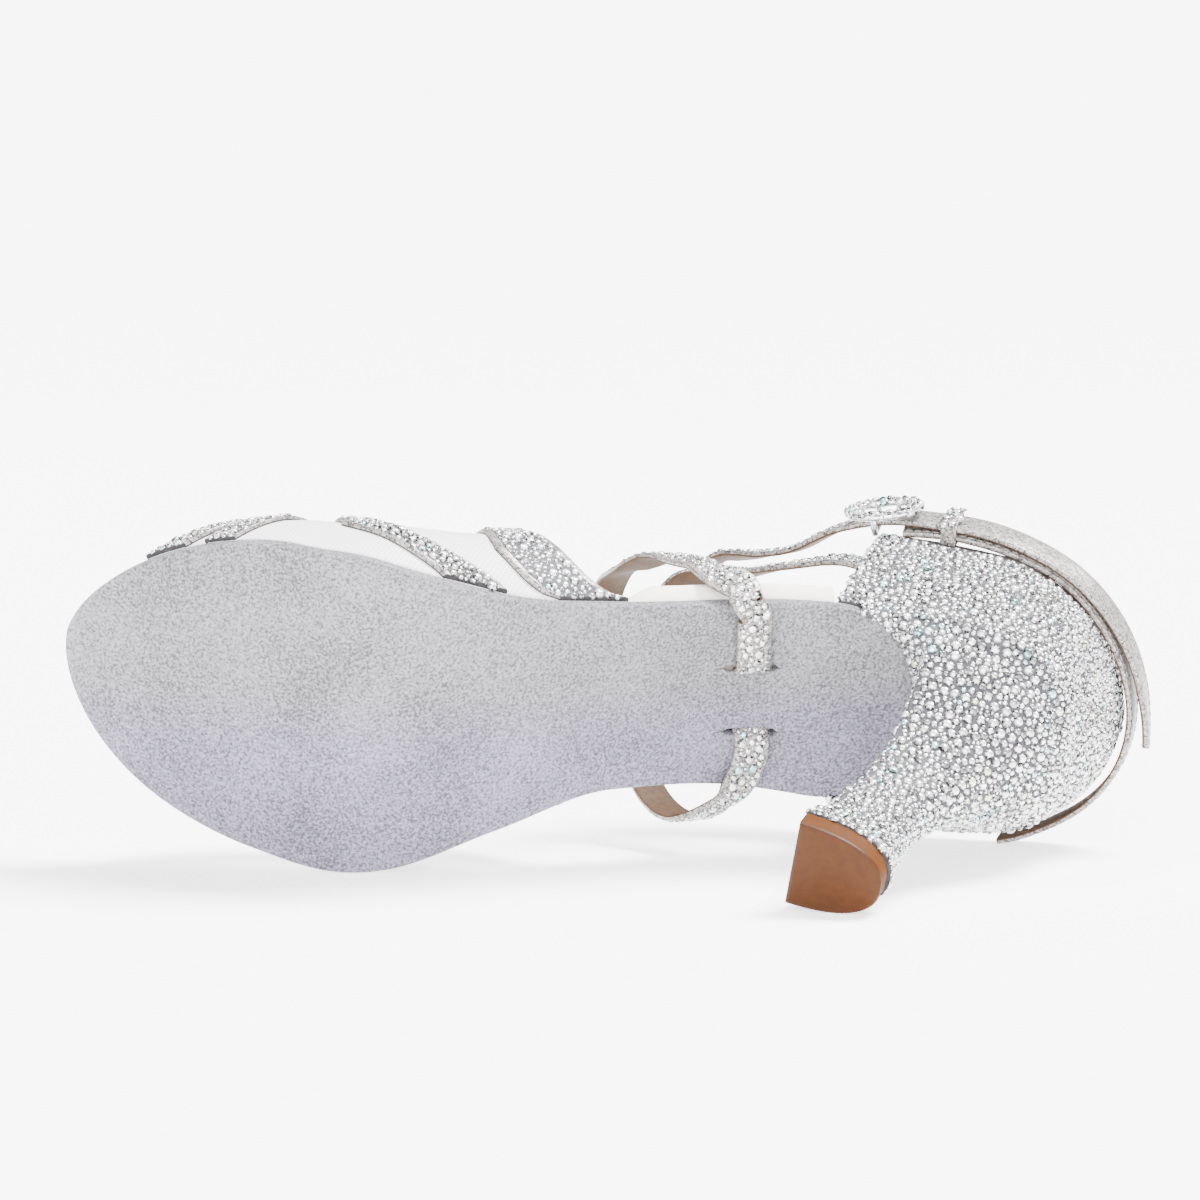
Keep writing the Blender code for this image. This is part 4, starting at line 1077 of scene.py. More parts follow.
def grained(name, light, dark, roughness, scale, bump, depth, reach=0.15, detail=4.0, tint=None):
    """Surface whose colour wanders between two tones, with a fine grain in relief.

    Grain within reach of the middle spans from the dark to the light tone, a wide noise shifts it
    by a fifth, and tint, if given, changes the colour by place.
    """
    made, principled, add = shader(name)
    place = add("ShaderNodeTexCoord").outputs["Object"]
    wander = add("ShaderNodeTexNoise", [("Scale", scale * 0.03), ("Detail", 3.0)], [("Vector", place)])
    fine = [("Scale", scale), ("Detail", detail), ("Roughness", 0.6)]
    grain = add("ShaderNodeTexNoise", fine, [("Vector", place)]).outputs["Fac"]
    fifth = add("ShaderNodeMath", [(1, 0.2)], [(0, wander.outputs["Fac"])], operation="MULTIPLY")
    both = add("ShaderNodeMath", [], [(0, fifth.outputs[0]), (1, grain)], operation="ADD")
    ends = [("From Min", 0.6 - reach), ("From Max", 0.6 + reach)]
    span = add("ShaderNodeMapRange", ends, [("Value", both.outputs[0])])
    colour = blend(add, span.outputs[0], dark, light)
    if tint:
        colour = tint(add, place, colour)
    cover(made, add, colour, grain, bump, depth)
    set_inputs(principled, Roughness=roughness, Specular_IOR_Level=0.18)
    return made, principled


def stone_look(name):
    """Foiled glass: every facet has its own tone, a painted reflection, from an attribute."""
    made, principled, add = shader(name)
    own = add("ShaderNodeAttribute", attribute_name="sparkle")
    made.node_tree.links.new(own.outputs["Color"], principled.inputs["Base Color"])
    set_inputs(principled, Roughness=0.12, Metallic=0.55, Coat_Weight=0.5, Coat_Roughness=0.03)
    return made


def mesh_look(name):
    """Fine taut mesh: a small square weave in the piece's own UV map."""
    made, principled, add = shader(name)
    where = add("ShaderNodeUVMap", uv_map="weave").outputs["UV"]
    threads = []
    for direction in ("X", "Y"):
        settings = [("Scale", 1.0), ("Distortion", 0.3), ("Detail", 1.0)]
        wave = add("ShaderNodeTexWave", settings, [("Vector", where)], bands_direction=direction)
        threads.append(wave.outputs["Fac"])
    over = add("ShaderNodeMath", [], enumerate(threads), operation="MAXIMUM").outputs[0]
    colour = colours().mesh
    between = blend(add, over, [value * 0.62 for value in colour], colour)
    cover(made, add, between, over, 0.35, 0.1 * MM)
    set_inputs(principled, Roughness=0.62, Sheen_Weight=0.3)
    return made


def floor_look(name):
    """Pale floor that gives a little light of its own, so it ends in the backdrop."""
    made, principled, add = shader(name)
    place = add("ShaderNodeTexCoord").outputs["Object"]
    grain = add("ShaderNodeTexNoise", [("Scale", 3.0)], [("Vector", place)])
    span = add("ShaderNodeMapRange", [("To Min", 0.98), ("To Max", 1.0)], [("Value", grain.outputs["Fac"])])
    made.node_tree.links.new(span.outputs[0], principled.inputs["Base Color"])
    set_inputs(principled, Roughness=0.9, Specular_IOR_Level=0.1, Emission_Strength=1.9, Emission_Color=WHITE)
    return made


def painted_bounce_tint(add, place, colour):
    """Colour multiplied by a painted lilac bounce light on the half of the sole that lies near the floor."""
    height = add("ShaderNodeSeparateXYZ", [], [(0, place)]).outputs["Z"]
    ends = [("From Min", PAINTED_BOUNCE_START), ("From Max", PAINTED_BOUNCE_FULL)]
    low = add("ShaderNodeMapRange", ends, [("Value", height)], interpolation_type="SMOOTHSTEP")
    links = [(0, low.outputs[0]), (6, colour)]
    # Painted bounce light: the suede's colour multiplied by a lilac tone near the floor
    tone = [(7, (*colours().suede_painted_bounce, 1))]
    return add("ShaderNodeMix", tone, links, data_type="RGBA", blend_type="MULTIPLY").outputs[2]


def suede_look(name):
    """Brushed suede: coarse nap between two tones, with sheen, and a painted bounce light near the floor."""
    c = colours()
    made, principled = grained(
        name, c.suede_light, c.suede_dark, 0.95, 1600, 0.9, 0.6 * MM, reach=0.12, detail=6.0, tint=painted_bounce_tint,
    )
    set_inputs(principled, Sheen_Weight=0.15, Sheen_Roughness=0.6, Specular_IOR_Level=0.1)
    return made


def fabric_look(name):
    """Glitter fabric: specks in cells on a silver ground, painted from dull to bright as glints of the
    glitter.
    """
    made, principled, add = shader(name)
    where = add("ShaderNodeTexCoord").outputs["Object"]
    cells = add("ShaderNodeTexVoronoi", [("Scale", 2500.0)], [("Vector", where)])
    speck = add("ShaderNodeSeparateColor", [], [(0, cells.outputs["Color"])]).outputs
    colour = colours().fabric
    # Speck tones run from dull to bright: the glitter's specks, with painted glints
    tone = blend(add, speck[0], [v * 0.2 for v in colour], [min(1, v * 3.2) for v in colour])
    cover(made, add, tone, speck[1], 0.6, 0.3 * MM)
    set_inputs(principled, Roughness=0.38, Metallic=0.35)
    return made


def plain_look(name, key, light, dark, roughness, scale, bump, depth, gloss, metallic):
    """Finish of one colour of the panel; light and dark are its shares in the two tones."""
    tones = [[min(1, value * share) for value in getattr(colours(), key)] for share in (light, dark)]
    made, principled = grained(name, *tones, roughness, scale, bump, depth)
    set_inputs(principled, Specular_IOR_Level=gloss, Metallic=metallic)
    return made


OWN_LOOKS = {
    "suede": suede_look,
    "strap_fabric": fabric_look,
    "fine_mesh": mesh_look,
    "cut_stones": stone_look,
    "pale_floor": floor_look,
}


def look(name):
    """Material made the first time it is asked for; the solids' own materials stay apart."""
    label = "look_" + name
    made = bpy.data.materials.get(label)
    if made is None:
        made = OWN_LOOKS[name](label) if name in OWN_LOOKS else plain_look(label, *FINISHES[name])
    return made


# Pieces


def colours():
    """Colours set in the panel."""
    return bpy.context.scene.sandal_colours


def sizes():
    """Sizes set in the panel."""
    return bpy.context.scene.sandal_sizes


def stones_on(name, slot, fields):
    """Stones over one or more surfaces, given as fields of spots and normals."""
    s = sizes()
    seed, large = STONE_LAYERS[name]
    spots, normals = (np.vstack(parts) for parts in zip(*fields))
    widths = (s.stone_large, s.stone_medium, s.stone_small, s.stone_seed)
    radii = {width / 2: share for width, share in zip(widths, (large, *OTHER_SHARES))}
    kept = scatter(spots, normals, radii, s.crowding, seed)
    return settle(stone_mesh(name, *kept, seed + 1), slot)


def strap_section(width, thickness, corner):
    """Rounded rectangle, across and outward, and a mark on each side: 1 inside, 0 elsewhere."""
    turn = np.linspace(0, np.pi / 2, 4)
    half_w, half_t = width / 2 - corner, thickness / 2 - corner
    points = []
    for quarter, (u, v) in enumerate(((1, 1), (-1, 1), (-1, -1), (1, -1))):
        at = turn + quarter * np.pi / 2
        points.append(np.stack([u * half_w + corner * np.cos(at), v * half_t + corner * np.sin(at)], axis=1))
    section = np.vstack(points)
    middle = (section[:, 1] + np.roll(section[:, 1], -1)) / 2
    return section, np.where(middle < -thickness * LINED_SHARE, 1, 0)


def strap_piece(node, centres, outward, closed=False):
    """Strap body: a rounded rectangle carried along the middle line, lined with leather inside."""
    _, normal, across = band_frame(centres, outward, closed)
    section, lined = strap_section(STRAP_WIDTH, STRAP_THICKNESS, STRAP_THICKNESS / 3)
    wide, high = section[None, :, :1], section[None, :, 1:]
    points = centres[:, None] + wide * across[:, None] + high * normal[:, None]
    rows, sides = len(centres), len(section)
    faces = [ring_faces(rows, sides, closed)]
    marks = np.tile(lined, rows if closed else rows - 1)
    if not closed:
        faces.append(np.array([np.arange(sides), (rows - 1) * sides + np.arange(sides)]))
        marks = np.concatenate([marks, [1, 1]])
    piece = new_piece(node + "_body", points.reshape(-1, 3), faces, ["strap_fabric", "tan_lining"], marks)
    return finish(piece, SHARP, "studded_fabric", node)


def strap_face(centres, outward, closed=False):
    """Outer face of a strap between its bare edges, as a grid for stones."""
    _, normal, across = band_frame(centres, outward, closed)
    lanes = np.linspace(-1, 1, STRAP_LANES) * (STRAP_WIDTH / 2 - BARE_EDGE)
    face = centres[:, None] + across[:, None] * lanes[None, :, None] + (normal * STRAP_THICKNESS / 2)[:, None]
    return face[:, ::-1]


def shown_run(centres):
    """Numbers of the arch strap's points that lie outside the sole, in order round the foot."""
    foot = on_sole(centres[:, :2], np.zeros(len(centres)))
    level = ((centres - foot) * sole_normal(centres[:, 0])).sum(axis=1)
    shown = (level < SHOWN_UNDER) | (level > SHOWN_OVER) | (abs(centres[:, 1]) > SHOWN_BESIDE)
    numbers = np.arange(len(centres))
    order = np.roll(numbers, -int(np.argmax(~shown)))
    start = int(order[shown[order]][0])
    return np.roll(numbers, -start)[: int(shown.sum())]


def block(name, points, sides):
    """Prism between two rings of corners."""
    return new_piece(name, points, tube_faces(2, sides), [])


# Fine shapes


def sole_body():
    """Suede sole: fine plate with softened edges, before slits and channel are cut."""
    x = np.unique(np.concatenate([
        stations(SOLE_BACK, SOLE_BACK + 2 * SOLE_BACK_DEPTH, 90)[:45],
        np.linspace(SOLE_BACK + SOLE_BACK_DEPTH, SHOE_LENGTH * 0.8, 70),
        stations(SHOE_LENGTH * 0.6, SHOE_LENGTH, 130)[65:],
    ]))
    sides = outsole_sides(x)
    loops = []
    for inset, level in SOLE_EDGE:
        loops.append((offset_sides(*sides, np.full(len(x), -inset * MM)), level * MM))
    return new_piece("suede_sole", *plate(loops, 24), ["suede"])


def insole_body():
    """Insole: rounded leather edge at the waist, inside the vamp and the counter elsewhere."""
    throat_x = THROAT[0] * SHOE_LENGTH
    x = np.unique(np.concatenate([
        stations(0, SHOE_LENGTH * 0.5, 110)[:55],
        np.linspace(COUNTER_FRONT - 2 * MM, throat_x + 6 * MM, 50),
        np.linspace(throat_x + 8 * MM, SHOE_LENGTH * 0.8, 30),
        stations(SHOE_LENGTH * 0.6, SHOE_LENGTH, 90)[45:],
    ]))
    sides = [np.stack([x, sole_edge(x, side)], axis=1) for side in (1, -1)]
    seat, fore = COUNTER_WALL + GAP, VAMP_WALL + 3 * GAP
    places = [COUNTER_FRONT, COUNTER_FRONT + 3 * GAP, throat_x - 20 * GAP, throat_x - 5 * GAP]
    top_edge = smooth(places, [-seat, INSOLE_OVERHANG, INSOLE_OVERHANG, -fore])(x)
    low_edge = smooth(places, [-seat, -GAP, -GAP, -fore])(x)
    low = OUTSOLE_THICKNESS + GAP
    loops = []
    for share, inset, level in INSOLE_EDGE:
        edge = low_edge + (top_edge - low_edge) * share - inset * MM
        loops.append((offset_sides(*sides, edge), low + level * MM))
    return new_piece("covered_insole", *plate(loops, 12), ["ivory_leather"])


def heel_grid():
    """Rings of the heel from the tip's seat to the rim, smoothed between the sections."""
    rim, count_front, count_edge = seat_ring(0, HEEL_FRONT, HEEL_EDGE)
    top, _, _ = seat_ring(OUTSOLE_THICKNESS, HEEL_FRONT, HEEL_EDGE)
    rings = []
    for height, front, back, width, offset in HEEL_SECTIONS:
        rings.append(heel_ring(
            max(height * HEEL_HEIGHT, TIP_HEIGHT + GAP), front * COUNTER_FRONT, back * COUNTER_FRONT,
            width * BALL_WIDTH, offset * BALL_WIDTH, count_front, count_edge,
        ))
    coarse = np.stack(rings + [rim])
    places = np.concatenate([[0], np.cumsum(np.linalg.norm(np.diff(coarse, axis=0), axis=2).mean(axis=1))])
    at = np.linspace(0, places[-1], HEEL_RINGS)
    flat = coarse.reshape(len(coarse), -1)
    body = np.stack([smooth(places, values)(at) for values in flat.T], axis=1)
    return body.reshape(len(at), -1, 3), top, count_front, count_edge


def heel_body(grid, top, count_front, count_edge):
    """Closed heel: its rings, the wall round the seat and the D-shaped top."""
    rings = np.concatenate([grid, top[None]])
    rows, sides = rings.shape[:2]
    first, medial = (rows - 1) * sides, 2 * count_edge - 1
    quads = []
    for k in range(count_edge - 1):
        outer = (first + k, first + k + 1)
        other = (first + medial - k, first + medial - k - 1)
        if k < count_front - 1:
            quads.append((*outer, first + sides - 2 - k, first + sides - 1 - k))
            quads.append((*other, first + 2 * count_edge + k + 1, first + 2 * count_edge + k))
        else:
            quads.append((*outer, other[1], other[0]))
    last = count_front - 1
    breast = (first + sides - 1 - last, first + 2 * count_edge + last)
    quads.append((first + last, *breast, first + medial - last))
    faces = [ring_faces(rows, sides), np.array(quads), np.arange(sides)[None, ::-1]]
    return new_piece("heel_body", rings.reshape(-1, 3), faces, ["stone_ground"])


def tip_body():
    """Rubber top piece with softened edges and a paler skived rim."""
    rings = []
    for level, grow in np.array(TIP_EDGE) * MM:
        front, back = TIP_FRONT + grow, TIP_FRONT - TIP_LENGTH - grow
        rings.append(heel_ring(level, front, back, TIP_WIDTH + 2 * grow, TIP_OFFSET, 8, 48))
    rows, sides = len(rings), len(rings[0])
    marks = np.concatenate([np.repeat([0, 0, 0, 1, 1, 1, 1], sides), [0, 1]])
    looks = ["amber_rubber", "rubber_rim"]
    return new_piece("rubber_top_piece", np.vstack(rings), tube_faces(rows, sides), looks, marks)


def counter_walls(levels):
    """Inner and outer wall of the counter, as grids from the lateral corner to the medial one."""
    outline, share, outward = counter_outline(COUNTER_SIDE, COUNTER_BACK)
    flare = column(COUNTER_TOP, 1)(share) * COUNTER_HEIGHT
    drop = column(COUNTER_TOP, 2)(share) * COUNTER_HEIGHT
    brim = HEEL_HEIGHT + OUTSOLE_THICKNESS + COUNTER_HEIGHT - drop
    walls = []
    for depth in (COUNTER_WALL, 0):
        foot = on_sole(outline - outward * depth, OUTSOLE_THICKNESS + GAP)
        rows = []
        for level in levels:
            reach = flare * level + COUNTER_BULGE * np.sin(np.pi * level)
            rise = (brim - foot[:, 2]) * level
            rows.append(foot + np.column_stack([outward * reach[:, None], rise]))
        walls.append(np.stack(rows, axis=1))
    return walls


def counter_body(inner, outer):
    """Counter with a rolled dark binding on top, lined inside; the binding's dark tone is partly painted
    shade where the band lies against the counter.
    """
    top = outer[:, -1] - inner[:, -1]
    up = unit(outer[:, -1] - outer[:, -3])
    places, shares = np.array(BINDING_COURSE).T
    rise = np.interp(np.linspace(0, 1, len(top)), places, shares * BINDING_RISE)
    roll = []
    for turn in np.linspace(0, np.pi, BINDING_LANES + 2)[1:-1]:
        middle = (inner[:, -1] + outer[:, -1]) / 2 - up * BINDING_DEPTH
        high = BINDING_DEPTH + rise[:, None]
        roll.append(middle - top / 2 * np.cos(turn) + up * high * np.sin(turn))
    inner, outer = inner.copy(), outer.copy()
    inner[:, -1] -= up * BINDING_DEPTH
    outer[:, -1] -= up * BINDING_DEPTH
    section = np.concatenate([inner, np.stack(roll, axis=1), outer[:, ::-1]], axis=1)
    rows, sides = section.shape[:2]
    lined = inner.shape[1] - 1
    side = np.arange(sides)
    # Binding lanes take the dark edge finish: a dark binding, and painted shade between the counter's stones
    # and the band
    mark = np.where(side < lined, 1, np.where(side < lined + BINDING_LANES + 2, 2, 0))
    return new_piece(
        "counter_body", section.reshape(-1, 3), tube_faces(rows, sides, inward=True),
        ["stone_ground", "tan_lining", "dark_edge"], np.concatenate([np.tile(mark, rows - 1), [0, 0]]),
    )


def vamp_mesh():
    """Taut mesh wall over the last, open at toe and throat, with a UV map in threads."""
    turn = np.linspace(0, np.pi, VAMP_ROWS)
    lanes = np.linspace(0, 1, VAMP_LANES)
    front, back = opening_edge(TOE_OPENING, turn), opening_edge(THROAT, turn)
    x = front[:, None] + (back - front)[:, None] * lanes
    wide = np.repeat(turn[:, None], len(lanes), axis=1)
    inner, normal = last_point(x, wide), last_normal(x, wide)
    points = np.concatenate([wall.reshape(-1, 3) for wall in (inner, inner + normal * VAMP_WALL)])
    rows, count = x.shape
    rim = rim_of(np.arange(rows * count).reshape(rows, count))
    top = rim + rows * count
    faces = [
        grid_faces(rows, count), grid_faces(rows, count)[:, ::-1] + rows * count,
        np.stack([rim, np.roll(rim, -1), np.roll(top, -1), top], axis=1),
    ]
    piece = new_piece("mesh_wall", points, faces, ["fine_mesh"])
    around = np.linalg.norm(np.diff(inner, axis=0, prepend=inner[:1]), axis=2).cumsum(axis=0)
    thread = WAVE_LENGTH / THREAD_PITCH
    uv_from_grid(piece, np.tile(x.ravel(), 2) * thread, np.tile(around.ravel(), 2) * thread)
    return piece


def strip_routes():
    """Turn and middle line of the four raised strips."""
    turn = np.linspace(0, np.pi, STRIP_ROWS)
    crossing = column(CROSSING, 1)
    routes = (
        (opening_edge(TOE_OPENING, turn), -0.5, 1.00), (opening_edge(THROAT, turn), 0.5, 1.00),
        (SHOE_LENGTH * crossing(turn / np.pi), 0, 0.93), (SHOE_LENGTH * crossing(1 - turn / np.pi), 0, 1.12),
    )
    for route, shift, raised in routes:
        width = strip_width(route, turn)
        yield turn, route + shift * (width - 2 * GAP), width, raised


def strip_body(name, turn, middle, width, raised):
    """Raised strip with dark bound edges, following the last."""
    low, high = 0.45 * VAMP_WALL * raised, VAMP_WALL + STRIP_RAISE * raised
    foot, shoulder = VAMP_WALL + STRIP_FOOT, high - STRIP_BEVEL
    profile = (
        (-0.50, low, 1), (-0.50, foot, 2), (-0.49, shoulder, 2), (-0.46, high, 2), (-0.39, high, 0),
        (0.39, high, 2), (0.46, high, 2), (0.49, shoulder, 2), (0.50, foot, 1), (0.50, low, 1),
    )
    section = []
    for share, level, _ in profile:
        x = middle + width * share
        section.append(last_point(x, turn) + last_normal(x, turn) * level)
    section = np.stack(section, axis=1)
    rows, sides = section.shape[:2]
    marks = np.concatenate([np.tile([mark for _, _, mark in profile], rows - 1), [1, 1]])
    looks = ["stone_ground", "dark_edge", "strap_fabric"]
    return new_piece(name, section.reshape(-1, 3), tube_faces(rows, sides, inward=True), looks, marks)


def strip_top(turn, middle, width, raised):
    """Top face of a strip as a grid, inside its bound edges."""
    lanes = np.linspace(-0.36, 0.36, STRIP_LANES)
    x = middle[:, None] + width[:, None] * lanes
    wide = np.repeat(turn[:, None], len(lanes), axis=1)
    return last_point(x, wide) + last_normal(x, wide) * (VAMP_WALL + STRIP_RAISE * raised)


def finer(centres, outward, closed=False):
    """Strap line with three points added in each step."""
    both = np.hstack([centres, outward])
    if closed:
        both = np.vstack([both[-2:], both, both[:3]])
    places = distances(both[:, :3])
    share = np.arange(0, len(places) - 1, 1 / PARTS)
    at = np.interp(share, np.arange(len(places)), places)
    if closed:
        at = at[2 * PARTS:-2 * PARTS]
        at = at[at < places[-3] - 0.0001 * MM]
    else:
        at = np.append(at, places[-1])
    fine = np.stack([smooth(places, values, limited=False)(at) for values in both.T], axis=1)
    return fine[:, :3], fine[:, 3:]


def stitches(name, centres, outward, offsets):
    """Thread along a strap's outer face: short six-sided rods in rows at the sideways offsets."""
    _, normal, across = band_frame(centres, outward, False)
    along = unit(np.gradient(centres, axis=0))
    places = distances(centres)
    at = np.arange(STITCH_START, places[-1] - STITCH_START, STITCH_PITCH)
    spots, along, normal, across = (
        np.stack([np.interp(at, places, values) for values in field.T], axis=1)
        for field in (centres, along, normal, across)
    )
    turn = full_turn(6)
    stretch, width = np.array(THREAD_ENDS).T
    stretch = stretch * STITCH_PITCH * STITCH_SHARE
    ring = normal[:, None] * np.sin(turn)[None, :, None] + across[:, None] * np.cos(turn)[None, :, None]
    points = []
    for offset in offsets:
        spot = spots + normal * (STRAP_THICKNESS / 2 - THREAD_SINK) + across * offset
        rod = spot[:, None, None] + along[:, None, None] * stretch[None, :, None, None]
        rod = rod + (width * THREAD_RADIUS)[None, :, None, None] * ring[:, None]
        points.append(rod.reshape(-1, 3))
    rings, sides = len(THREAD_ENDS), len(turn)
    start = np.arange(len(at) * len(offsets))[:, None, None] * rings * sides
    faces = [(part[None] + start).reshape(-1, part.shape[1]) for part in tube_faces(rings, sides)]
    return finish(new_piece(name, np.vstack(points), faces, ["thread"]), None, "studded_fabric")


def sampled(grid, surface, centre=None):
    """Stone spots on a grid, with the normals turned away from a centre."""
    spots, normals = stone_field(grid, *STONE_SPOTS[surface])
    middle = spots.mean(axis=0) if centre is None else centre
    if (normals * (spots - middle)).sum() < 0:
        normals = -normals
    return spots, normals


def buckle_bodies(place):
    """Oval frame with a rounded section, its bar, and the grid of the frame's outer face."""
    turn, section = full_turn(96), full_turn(16)
    half = BUCKLE_BAND / 2
    out = half * squared(np.cos(section), 0.7)
    rise = BUCKLE_THICKNESS / 2 * (1 + squared(np.sin(section), 0.7))
    x = (BUCKLE_LENGTH / 2 - half + out) * np.cos(turn)[:, None]
    y = (BUCKLE_WIDTH / 2 - half + out) * np.sin(turn)[:, None]
    ring = placed(np.stack([x, y, np.tile(rise, (len(turn), 1))], axis=2), place)
    faces = [ring_faces(len(turn), len(section), True)]
    oval = new_piece("oval_frame", ring.reshape(-1, 3), faces, ["bright_metal"])
    side, post = BUCKLE_WIDTH / 2 - half, BUCKLE_BAR / 2
    depth = STRAP_THICKNESS + 4 * GAP
    drop = [(side, 0.4 * BUCKLE_THICKNESS), (side, -depth * 0.6), (side - 0.5 * MM, -depth - post * 0.6)]
    drop.append((side - 1.4 * MM, -depth - post))
    line = np.array([(0, -y, z) for y, z in drop] + [(0, y, z) for y, z in drop[::-1]])
    _, normal, across = band_frame(line, np.tile((1.0, 0, 0), (len(line), 1)), False)
    disc = full_turn(12)[None, :, None]
    rod = line[:, None] + post * (np.cos(disc) * normal[:, None] + np.sin(disc) * across[:, None])
    rod = placed(rod - (BUCKLE_BAR_SHIFT, 0, 0), place).reshape(-1, 3)
    bar = new_piece("buckle_bar", rod, tube_faces(len(line), disc.size), ["bright_metal"])
    return oval, bar, np.concatenate([ring, ring[:1]])[:, : len(section) // 2 + 1]


def keeper_body(place):
    """Rounded loop round the band and the strap's free end, and the grid of its outer face."""
    low, high = -2 * STRAP_THICKNESS - 6 * GAP, GAP
    half_y, half_z = STRAP_WIDTH / 2 + 2 * GAP, (high - low) / 2
    turn = full_turn(64)
    cosine, sine = squared(np.cos(turn), 0.25), squared(np.sin(turn), 0.25)
    loops = []
    for x, grow in KEEPER_SECTION:
        y = (half_y + grow * KEEPER_WALL) * cosine
        z = (half_z + grow * KEEPER_WALL) * sine + (low + high) / 2
        loops.append(np.stack([np.full(len(turn), x * KEEPER_LENGTH), y, z], axis=1))
    ring = placed(np.stack(loops, axis=1), place)
    faces = [ring_faces(len(turn), len(KEEPER_SECTION), True)]
    piece = new_piece("keeper_band", ring.reshape(-1, 3), faces, ["strap_fabric"])
    return piece, ring[4:29, 5:7]


def stone_size(name, rank, value):
    """Property for the diameter of one size of stone."""
    return bpy.props.FloatProperty(
        name=name, description=f"Diameter of the {rank} stones", default=value, unit="LENGTH",
    )


class SandalSizes(bpy.types.PropertyGroup):
    """Sizes of the stones and how close they sit."""

    stone_large: stone_size("Large stones", "largest", 2.7 * MM)
    stone_medium: stone_size("Medium stones", "second largest", 2.0 * MM)
    stone_small: stone_size("Small stones", "third largest", 1.5 * MM)
    stone_seed: stone_size("Seed stones", "smallest", 1.0 * MM)
    crowding: bpy.props.FloatProperty(
        name="Crowding", description="Space between stones, as a share of their size", default=0.84,
    )


def colour_property(name, value):
    """Property for one colour, in linear values."""
    return bpy.props.FloatVectorProperty(
        name=name, description=f"Colour of the {name.lower()}", subtype="COLOR", size=3, default=value,
    )


class SandalColours(bpy.types.PropertyGroup):
    """Colours of the materials, in linear values."""

    suede_light: colour_property("Suede nap", (0.25, 0.246, 0.266))
    suede_dark: colour_property("Suede ground", (0.06, 0.0585, 0.064))
    # Painted lilac bounce light, multiplied into the suede near the floor
    suede_painted_bounce: colour_property("Suede's lower half", (0.98, 0.94, 1.16))
    ivory: colour_property("Insole leather", (0.90, 0.86, 0.80))
    ground: colour_property("Ground under the stones", (0.07, 0.07, 0.08))
    lining: colour_property("Lining", (0.085, 0.048, 0.027))
    # Dark bound edges; on the counter's top this dark tone is also painted shade beside the band
    edge: colour_property("Bound edges", (0.045, 0.042, 0.045))
    rubber: colour_property("Heel tip", (0.046, 0.0145, 0.0036))
    rubber_rim: colour_property("Heel tip rim", (0.072, 0.024, 0.006))
    mesh: colour_property("Mesh", (0.80, 0.80, 0.83))
    fabric: colour_property("Strap fabric", (0.13, 0.119, 0.114))
    metal: colour_property("Buckle", (0.85, 0.85, 0.87))


class SANDAL_OT_sole(bpy.types.Operator):
    """Suede sole with its two slits and the strap's channel, and the insole."""

    bl_idname = "sandal.sole"
    bl_label = "Sole and insole"

    def execute(self, context):
        sole = sole_body()
        face_out(sole)
        carve(sole, [slit_cutter(1), slit_cutter(-1), channel_cutter()])
        finish(sole, 0.7, "suede", "outsole")
        finish(insole_body(), ROUND, "ivory_leather", "insole")
        return {"FINISHED"}


class SANDAL_OT_heel(bpy.types.Operator):
    """Heel with its stones, and the rubber top piece."""

    bl_idname = "sandal.heel"
    bl_label = "Heel"

    def execute(self, context):
        grid, top, count_front, count_edge = heel_grid()
        finish(heel_body(grid, top, count_front, count_edge), SHARP, "studded_heel", "heel")
        whole = np.concatenate([grid, grid[:, :1]], axis=1)
        rear = np.stack([grid[-1, :2 * count_edge], top[:2 * count_edge]])
        fields = [sampled(whole, "heel"), sampled(rear, "heel_rim")]
        stones_on("heel_stones", "studded_heel", fields)
        finish(tip_body(), 0.5, "tip_rubber", "heel_tip")
        return {"FINISHED"}


class SANDAL_OT_counter(bpy.types.Operator):
    """Counter with its lining, dark top edge and stones."""

    bl_idname = "sandal.counter"
    bl_label = "Counter"

    def execute(self, context):
        inner, outer = counter_walls(np.linspace(0, 1, COUNTER_LEVELS))
        finish(counter_body(inner, outer), SHARP, "studded_heel", "counter")
        stones_on("counter_stones", "studded_heel", [sampled(outer[:, :-1], "counter")])
        return {"FINISHED"}


class SANDAL_OT_vamp(bpy.types.Operator):
    """Mesh vamp with its four stone strips."""

    bl_idname = "sandal.vamp"
    bl_label = "Vamp"

    def execute(self, context):
        finish(vamp_mesh(), None, "mesh_fabric", "vamp")
        fields = []
        for i, route in enumerate(strip_routes()):
            finish(strip_body(f"vamp_strip_{i + 1}", *route), SHARP, "studded_fabric")
            fields.append(sampled(strip_top(*route), f"strip_{i + 1}"))
        stones_on("vamp_stones", "studded_fabric", fields)
        return {"FINISHED"}


class SANDAL_OT_straps(bpy.types.Operator):
    """Arch, ankle and instep straps and the back band, lined with leather."""

    bl_idname = "sandal.straps"
    bl_label = "Straps"

    def execute(self, context):
        arch = finer(*arch_path(), closed=True)
        strap_piece("arch_strap", *arch, closed=True)
        tables = {"ankle_strap": ANKLE_STRAP, "instep_strap": INSTEP_STRAP, "back_band": BACK_BAND}
        lines = {}
        for node, table in tables.items():
            lines[node] = finer(*ankle_path(table))
            strap_piece(node, *lines[node])
        ankle = lines["ankle_strap"]
        at = int(np.argmin(np.linalg.norm(ankle[0] - BUCKLE_AT, axis=1)))
        rows = (STITCH_INSET - STRAP_WIDTH / 2, STRAP_WIDTH / 2 - STITCH_INSET)
        stitches("back_band_stitches", *lines["back_band"], rows)
        stitches("ankle_strap_stitches", ankle[0][at + BARE_AFTER:], ankle[1][at + BARE_AFTER:], rows)
        stones_on("strap_stones", "studded_fabric", [
            sampled(strap_face(*arch, closed=True)[shown_run(arch[0])], "arch_strap"),
            sampled(strap_face(*ankle)[: at - BARE_BEFORE], "ankle_strap"),
            sampled(strap_face(*lines["instep_strap"]), "instep_strap"),
        ])
        return {"FINISHED"}


